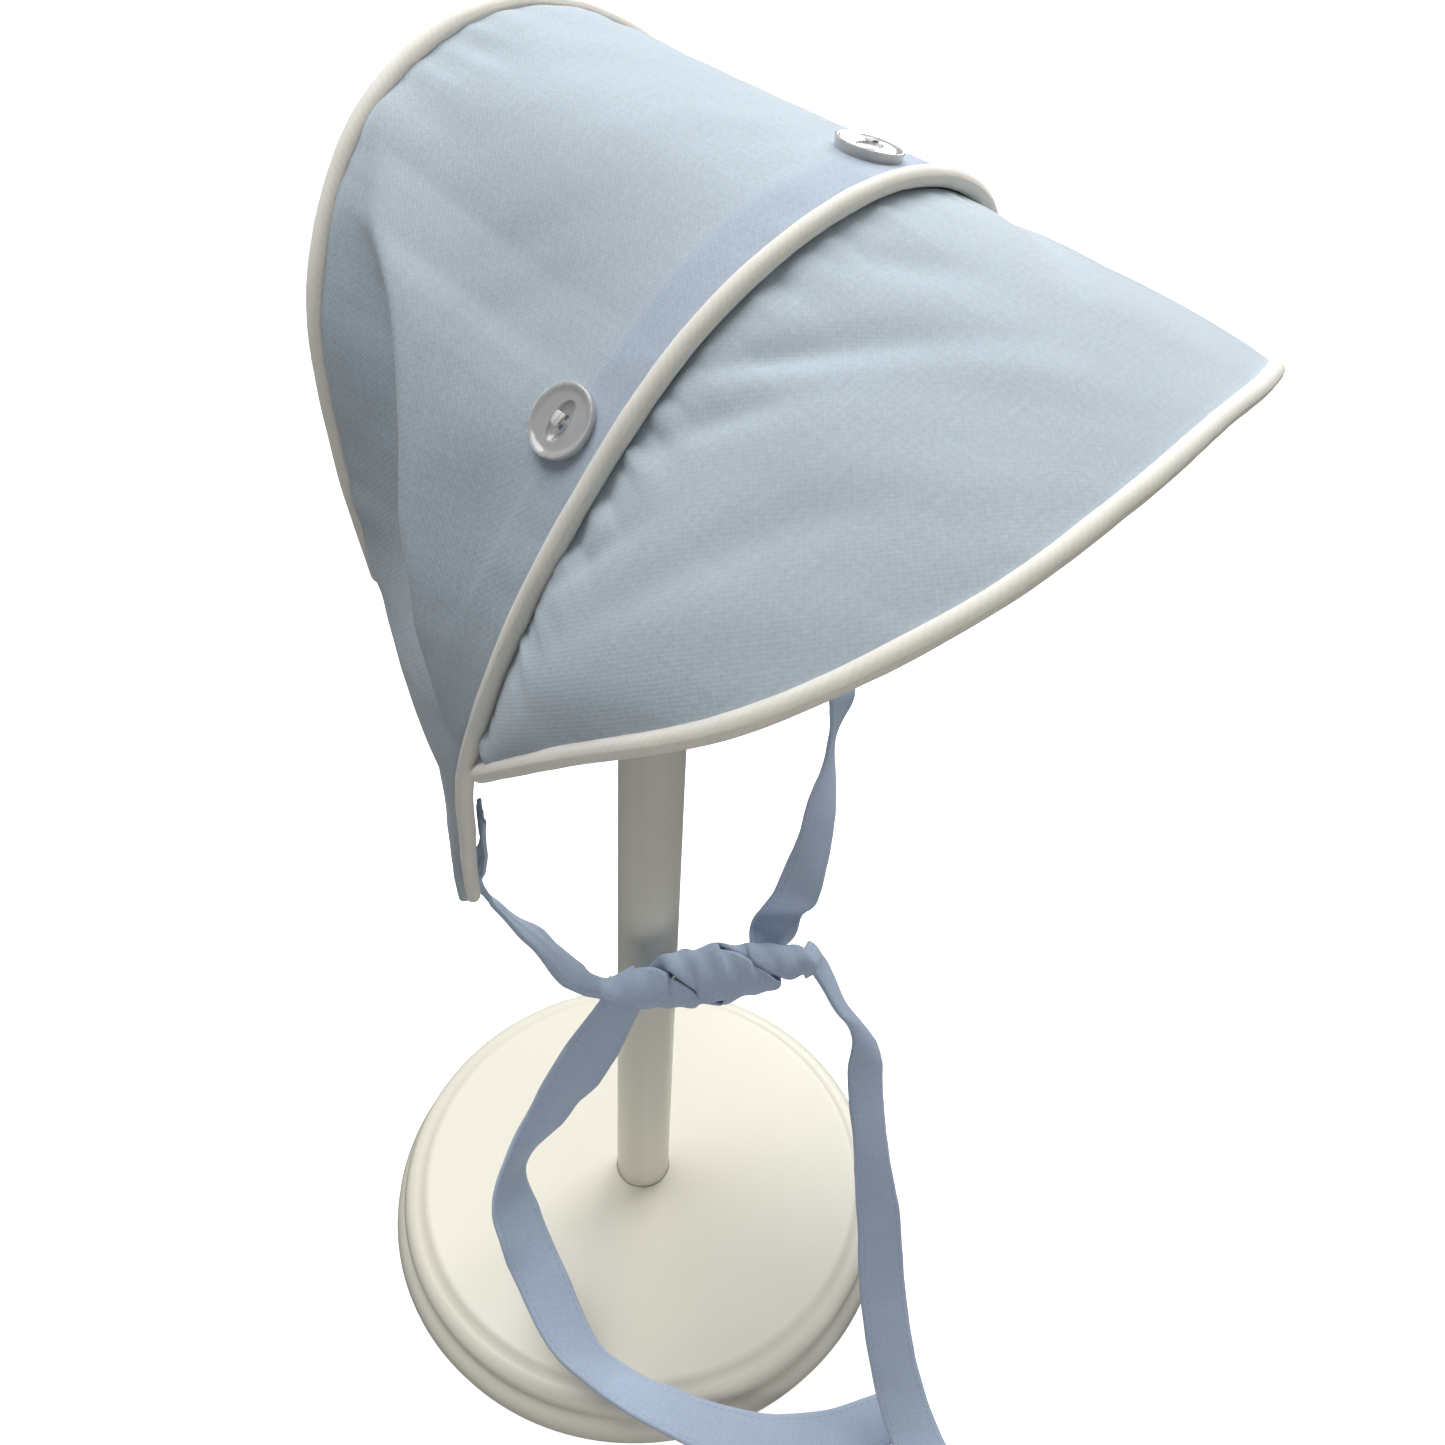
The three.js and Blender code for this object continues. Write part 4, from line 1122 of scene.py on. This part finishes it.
def sewn_station(side, share, turned):
    """A station of a tie under the cloth at the front edge, from a corner (0) upwards."""
    across = np.array(share if side < 0 else 1 - share)
    edge = front_edge.at(across)
    inward = -crown_normal_at_front(across)
    back = unit(rear_point(across) - edge)
    width = np.cross(inward, back) if turned else back
    point = edge + inward * (EDGE_INSET + CAD_TIE_WALL) + back * (TIE_GATHER * TIE_WIDTH / 2 - TIE_PEEK)
    return {"point": point, "width": width, "wide": TIE_GATHER, "curl": 5}


def upper_stations(rows, corner, end):
    """Upper stretch of a tie, as shares of the way from its corner to its end of the knot."""
    return [
        station(corner + (end - corner) * np.array([row["x"], row["y"], row["z"]]), row) for row in rows
    ]


def tail_stations(rows):
    """Free tail of a tie, as shares of the foot's radius and of the knot's height."""
    size = np.array([BASE_RADIUS, BASE_RADIUS, KNOT_HEIGHT])
    return [station(np.array([row["x"], row["y"], row["z"]]) * size, row) for row in rows]


def tie_stations(side):
    """All stations of one tie, from its sewn end to its tail."""
    corner = sewn_station(side, 0, False)["point"]
    if side < 0:
        knot_end = knot_middle - knot_axis * 0.5 * KNOT_LENGTH
        return [
            sewn_station(-1, TIE_SEW_SHARE, False),
            sewn_station(-1, TIE_SEW_SHARE / 2, False),
            sewn_station(-1, 0, False),
            *upper_stations(RIGHT_UPPER_ROWS, corner, knot_end),
            *(knot_station(share, 0, -1) for share in (0, 0.14, 0.28, 0.42, 0.56, 0.7, 0.84, 1)),
            *tail_stations(RIGHT_TAIL_ROWS),
        ]
    knot_end = knot_middle + knot_axis * 0.5 * KNOT_LENGTH
    return [
        sewn_station(1, TIE_SEW_SHARE, True),
        *upper_stations(LEFT_UPPER_ROWS, corner, knot_end),
        *(knot_station(share, 180, 1) for share in (0.84, 0.7, 0.56, 0.42, 0.28)),
        *tail_stations(LEFT_TAIL_ROWS),
    ]


def tie_surface(stations, steps, lanes, settings, seed):
    """Middle of a tie's ribbon: a grid of points, turned and curled from station to station."""
    route = Seam([s["point"] for s in stations])
    shares = np.linspace(0, 1, steps + 1)
    reach = shares * (len(stations) - 1)
    low = np.minimum(np.floor(reach).astype(int), len(stations) - 2)
    part = ease(0, 1, reach - low)

    def between(name):
        """A column of the stations, read between them."""
        column = np.array([s[name] for s in stations], float)
        step = (column[low + 1] - column[low]).T * part
        return column[low] + step.T

    width = unit(between("width"))
    out = unit(np.cross(route.heading(shares), width))
    curl, share_wide = np.radians(between("curl")), between("wide")
    wide = settings.tie_width / MM * share_wide
    middle = route.at(shares)
    walked = stroked(middle[None])[0]
    lane = np.linspace(-0.5, 0.5, lanes + 1)
    turn = curl[:, None] * lane[None]
    bend = (wide / curl)[:, None, None]
    normal = out[:, None] * np.cos(turn)[..., None] + width[:, None] * np.sin(turn)[..., None]
    points = middle[:, None] + bend * (normal - out[:, None])
    edge = np.abs(lane)[None] * 2
    ripple = soft_noise(walked[:, None], lane * 9, 6.5, seed)
    frill = soft_noise(walked[:, None], lane * 30, 2.4, seed + 1)
    height = 0.32 * ripple * (0.4 + 0.6 * edge**2) + 0.1 * frill * edge**4
    gathers = (1 - ease(0.4, 0.95, share_wide))[:, None]
    height = height + 0.22 * gathers * np.cos(lane * 5 * np.pi)[None]
    height = height * (1 - 0.8 * ease(90, 150, np.degrees(curl)))[:, None]
    points = points + normal * height[..., None]
    from_edge = (0.5 - np.abs(lane))[None] * wide[:, None]
    uv = np.stack(np.broadcast_arrays(walked[:, None], (lane[None] + 0.5) * TIE_WIDTH), axis=-1)
    return points, uv, from_edge, walked[-1]


class BONNET_OT_ties(bpy.types.Operator):
    """Ties the two ribbons: each runs from its corner to the knot and on to its free tail"""

    bl_idname = "bonnet.ties"
    bl_label = "Ties"

    def execute(self, context):
        settings = context.scene.bonnet
        ribbon = woven_cotton(
            "stitched ribbon cotton", settings.ribbon, settings.thread_spacing, stitch_inset=1.6
        )
        for side, name, node, seed in (
            (-1, "ribbon_tie_right", "tie_right", 61),
            (1, "ribbon_tie_left", "tie_left", 67),
        ):
            points, uv, from_edge, length = tie_surface(tie_stations(side), *TIE_GRID, settings, seed)
            piece, row, column = grid_piece(points * MM, uv)
            point_attribute(piece, "from_edge", from_edge[row, column])
            apply_modifier(
                piece, "SOLIDIFY", thickness=settings.tie_wall, offset=0.0, use_even_offset=False
            )
            finish_piece(piece, name, ribbon, node)
        return {"FINISHED"}


# Profiles of the stand, as radius and height in millimetres

BASE_PROFILE = [
    (0, 0),
    (70.5, 0),
    (73.2, 0.7),
    (75.4, 2.6),
    (76.2, 5.6),
    (75.7, 8.4),
    (74.2, 10.3),
    (72.4, 11.1),
    (72.1, 11.7),
    (73.0, 12.7),
    (73.2, 14.0),
    (72.6, 15.5),
    (71.3, 16.5),
    (69.6, 16.9),
    (68.2, 17.2),
    (67.2, 17.9),
    (66.2, 18.4),
    (65.2, 18.5),
    (8.3, 18.5),
    (8.0, 18.2),
    (8.0, 9.6),
    (0, 9.5),
]

# Head: depth and radius of the socket for the post, its broken edge, the rim as shares of the
# head's radius and heights over its underside, and the dome's curve
SOCKET_DEPTH, SOCKET_RADIUS, SOCKET_BREAK, DOME_CURVE = 14.3, 8.2, 0.4, 40.0
HEAD_RIM = [(0.8, 0), (0.9, 0.5), (0.97, 2.2), (1, 4.5)]
BASE_STEPS, ROUND_STEPS = 160, 96


class BONNET_OT_stand(bpy.types.Operator):
    """Turns the stand: the moulded foot, the post and the domed head under the crown"""

    bl_idname = "bonnet.stand"
    bl_label = "Hat stand"

    def execute(self, context):
        paint = painted_wood(context.scene.hat_stand.paint)
        edge_round = context.scene.hat_stand.edge_round
        base = self.spun(BASE_PROFILE, BASE_STEPS)
        finish_piece(base, "turned_base", paint, "stand_base")
        low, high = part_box("stand_post")
        self.finish_post(low, high, edge_round, paint)
        low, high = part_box("stand_head")
        dome = (high.x - low.x) / 2 / MM
        bottom, top = low.z / MM, high.z / MM
        middle = top - DOME_CURVE
        turns = np.linspace(math.asin(dome / DOME_CURVE), 0, 14)
        profile = [
            (0, bottom + SOCKET_DEPTH),
            (SOCKET_RADIUS, bottom + SOCKET_DEPTH),
            (SOCKET_RADIUS, bottom + SOCKET_BREAK),
            (SOCKET_RADIUS + SOCKET_BREAK, bottom),
            *((share * dome, bottom + up) for share, up in HEAD_RIM),
            *((DOME_CURVE * math.sin(t), middle + DOME_CURVE * math.cos(t)) for t in turns),
        ]
        head = self.spun(profile, ROUND_STEPS)
        finish_piece(head, "turned_head", paint, "stand_head")
        return {"FINISHED"}

    def spun(self, profile, segments):
        """A turned piece: a vertex drawn out along the profile, then spun round the Z axis."""
        piece = added(bpy.ops.mesh.primitive_plane_add, size=0.01)
        bpy.ops.object.mode_set(mode="EDIT")
        bpy.ops.mesh.select_mode(type="VERT")
        bpy.ops.mesh.select_all(action="SELECT")
        bpy.ops.mesh.merge(type="CENTER")
        bpy.ops.transform.translate(value=(profile[0][0] * MM, 0, profile[0][1] * MM))
        for (radius, height), (next_radius, next_height) in zip(profile[:-1], profile[1:]):
            step = ((next_radius - radius) * MM, 0, (next_height - height) * MM)
            bpy.ops.mesh.extrude_region_move(TRANSFORM_OT_translate={"value": step})
        bpy.ops.mesh.select_all(action="SELECT")
        bpy.ops.mesh.spin(
            steps=segments, angle=2 * math.pi, center=(0, 0, 0), axis=(0, 0, 1), use_auto_merge=True
        )
        bpy.ops.mesh.select_all(action="SELECT")
        bpy.ops.mesh.remove_doubles(threshold=2e-6)
        bpy.ops.mesh.normals_make_consistent(inside=False)
        bpy.ops.object.mode_set(mode="OBJECT")
        bpy.ops.object.shade_smooth_by_angle(angle=math.radians(32))
        return piece

    def finish_post(self, low, high, edge_round, paint):
        """The dowel, a cylinder with rounded ends."""
        radius, height, middle = (high.x - low.x) / 2, high.z - low.z, (0, 0, (low.z + high.z) / 2)
        cylinder = bpy.ops.mesh.primitive_cylinder_add
        post = added(cylinder, vertices=ROUND_STEPS, radius=radius, depth=height, location=middle)
        bpy.ops.object.mode_set(mode="EDIT")
        bpy.ops.mesh.select_all(action="SELECT")
        bpy.ops.mesh.bisect(plane_co=middle, plane_no=(0, 0, 1))
        bpy.ops.object.mode_set(mode="OBJECT")
        bevel(post, edge_round, 3, 0.8)
        bpy.ops.object.shade_smooth_by_angle(angle=math.radians(32))
        finish_piece(post, "turned_post", paint, "stand_post")


# Softboxes in metres: place, width, and the height over the table's middle that each faces
LIGHTS = shape_table(
    "name setting x y z wide aim",
    ("overhead softbox", "key_power", 0, 0.3, 1.2, 0.8, 0.2),
    ("side softbox", "side_power", 0.9, 0.1, 0.8, 0.8, 0.2),
    ("fill softbox", "fill_power", -1.0, 0.35, 0.45, 0.8, 0.2),
    ("low softbox", "low_power", -0.28, -0.42, 0.06, 0.3, 0.05),
)

# Camera: place in metres, the directions to its right and up, and its lens and sensor in millimetres
CAMERA_PLACE = (-0.1705, -0.141, 0.3675)
CAMERA_RIGHT, CAMERA_UP = (0.6128, -0.7885, 0.0523), (0.4609, 0.4104, 0.7869)
LENS, SENSOR = 30.89, 36

# Brightness of the room below the horizon, and the heights between which it rises to the sky's
GROUND_LIGHT, HORIZON = 0.14, (-0.3, 0.7)
BACKDROP_RADIUS, BACKDROP_HEIGHT, BACKDROP_CURVE = 5, 4, 1.5


class BONNET_OT_stage(bpy.types.Operator):
    """Lays the pale table, hangs the soft lights and sets up the camera"""

    bl_idname = "bonnet.stage"
    bl_label = "Stage"

    def execute(self, context):
        scene = context.scene
        settings = scene.stage_look
        self.table(settings)
        for row in LIGHTS:
            self.light(row, getattr(settings, row["setting"]))
        world = bpy.data.worlds.new("white room")
        world.use_nodes = True
        tree = world.node_tree
        direction = add_node(tree, "ShaderNodeTexCoord").outputs["Generated"]
        up = add_node(tree, "ShaderNodeSeparateXYZ", {"Vector": direction}).outputs["Z"]
        brightness = spread(tree, up, HORIZON, (GROUND_LIGHT, settings.sky))
        background = tree.nodes["Background"]
        background.inputs["Color"].default_value = (1, 1, 1, 1)
        tree.links.new(brightness, background.inputs["Strength"])
        scene.world = world
        scene.view_settings.view_transform = "Standard"
        self.camera(scene)
        return {"FINISHED"}

    def table(self, settings):
        """A wide table of white paper that curves up behind. It throws no light on the bonnet."""
        size = {"radius": BACKDROP_RADIUS, "depth": BACKDROP_HEIGHT}
        middle = (0, 0, BACKDROP_HEIGHT / 2)
        table = added(bpy.ops.mesh.primitive_cylinder_add, vertices=ROUND_STEPS, location=middle, **size)
        table.name = "table"
        select_faces(table, lambda face: face.normal.z > 0.9)
        bpy.ops.mesh.delete(type="FACE")
        bpy.ops.mesh.select_all(action="SELECT")
        bpy.ops.mesh.flip_normals()
        bpy.ops.object.mode_set(mode="OBJECT")
        bevel(table, BACKDROP_CURVE, 16, 0.8)
        deselect()
        table.select_set(True)
        bpy.ops.object.shade_smooth()
        table.visible_diffuse = False
        table.visible_glossy = False
        table.visible_shadow = False
        material, tree, shader = new_material("matt white paper")
        place = add_node(tree, "ShaderNodeTexCoord").outputs["Object"]
        paper = rgba(settings.floor)
        colour = blend(tree, noise(tree, place, 6.0), rgba(settings.floor, 0.99), paper)
        glow = {"Emission Color": paper, "Emission Strength": settings.glow}
        finish_shader(tree, shader, colour, None, {"Roughness": 0.9, "Specular IOR Level": 0.1, **glow})
        table.data.materials.append(material)

    def light(self, row, power):
        """A square softbox that faces the line above the table's middle."""
        place = Vector((row["x"], row["y"], row["z"]))
        light = added(bpy.ops.object.light_add, type="AREA", location=place)
        light.name = row["name"]
        light.data.energy = power
        light.data.size = row["wide"]
        direction = Vector((0, 0, row["aim"])) - place
        light.rotation_euler = direction.to_track_quat("-Z", "Y").to_euler()

    def camera(self, scene):
        """The camera above the wearer's right, looking down at the bonnet."""
        camera = added(bpy.ops.object.camera_add, location=CAMERA_PLACE)
        right, up = Vector(CAMERA_RIGHT), Vector(CAMERA_UP)
        back = right.cross(up).normalized()
        up = back.cross(right).normalized()
        turn = Matrix((right.normalized(), up, back)).transposed().to_4x4()
        camera.matrix_world = Matrix.Translation(camera.location) @ turn
        camera.data.sensor_width = SENSOR
        camera.data.lens = LENS
        camera.data.clip_start = 0.01
        camera.data.clip_end = 50
        scene.camera = camera


class BONNET_PT_panel(bpy.types.Panel):
    """Lists the pieces and the settings"""

    bl_label = "Bonnet on a hat stand"
    bl_idname = "BONNET_PT_panel"
    bl_space_type = "VIEW_3D"
    bl_region_type = "UI"
    bl_category = "Bonnet"

    def draw(self, context):
        for operator in OPERATORS:
            self.layout.operator(operator.bl_idname)
        for group in (context.scene.bonnet, context.scene.hat_stand, context.scene.stage_look):
            box = self.layout.box()
            for name in group.__annotations__:
                box.prop(group, name)


OPERATORS = (
    BONNET_OT_stage,
    BONNET_OT_crown,
    BONNET_OT_back_panel,
    BONNET_OT_brim,
    BONNET_OT_pipings,
    BONNET_OT_buttons,
    BONNET_OT_ties,
    BONNET_OT_stand,
)
CLASSES = (BonnetSettings, StandSettings, StageSettings, *OPERATORS, BONNET_PT_panel)


def register():
    """Makes the settings, operators and panel known to Blender."""
    for item in CLASSES:
        bpy.utils.register_class(item)
    bpy.types.Scene.bonnet = bpy.props.PointerProperty(type=BonnetSettings)
    bpy.types.Scene.hat_stand = bpy.props.PointerProperty(type=StandSettings)
    bpy.types.Scene.stage_look = bpy.props.PointerProperty(type=StageSettings)


def unregister():
    """Takes them out again."""
    del bpy.types.Scene.stage_look
    del bpy.types.Scene.hat_stand
    del bpy.types.Scene.bonnet
    for item in reversed(CLASSES):
        bpy.utils.unregister_class(item)


def main():
    """Makes every piece in order."""
    register()
    bpy.ops.bonnet.stage()
    bpy.ops.bonnet.crown()
    bpy.ops.bonnet.back_panel()
    bpy.ops.bonnet.brim()
    bpy.ops.bonnet.pipings()
    bpy.ops.bonnet.buttons()
    bpy.ops.bonnet.ties()
    bpy.ops.bonnet.stand()


if __name__ == "__main__":
    main()
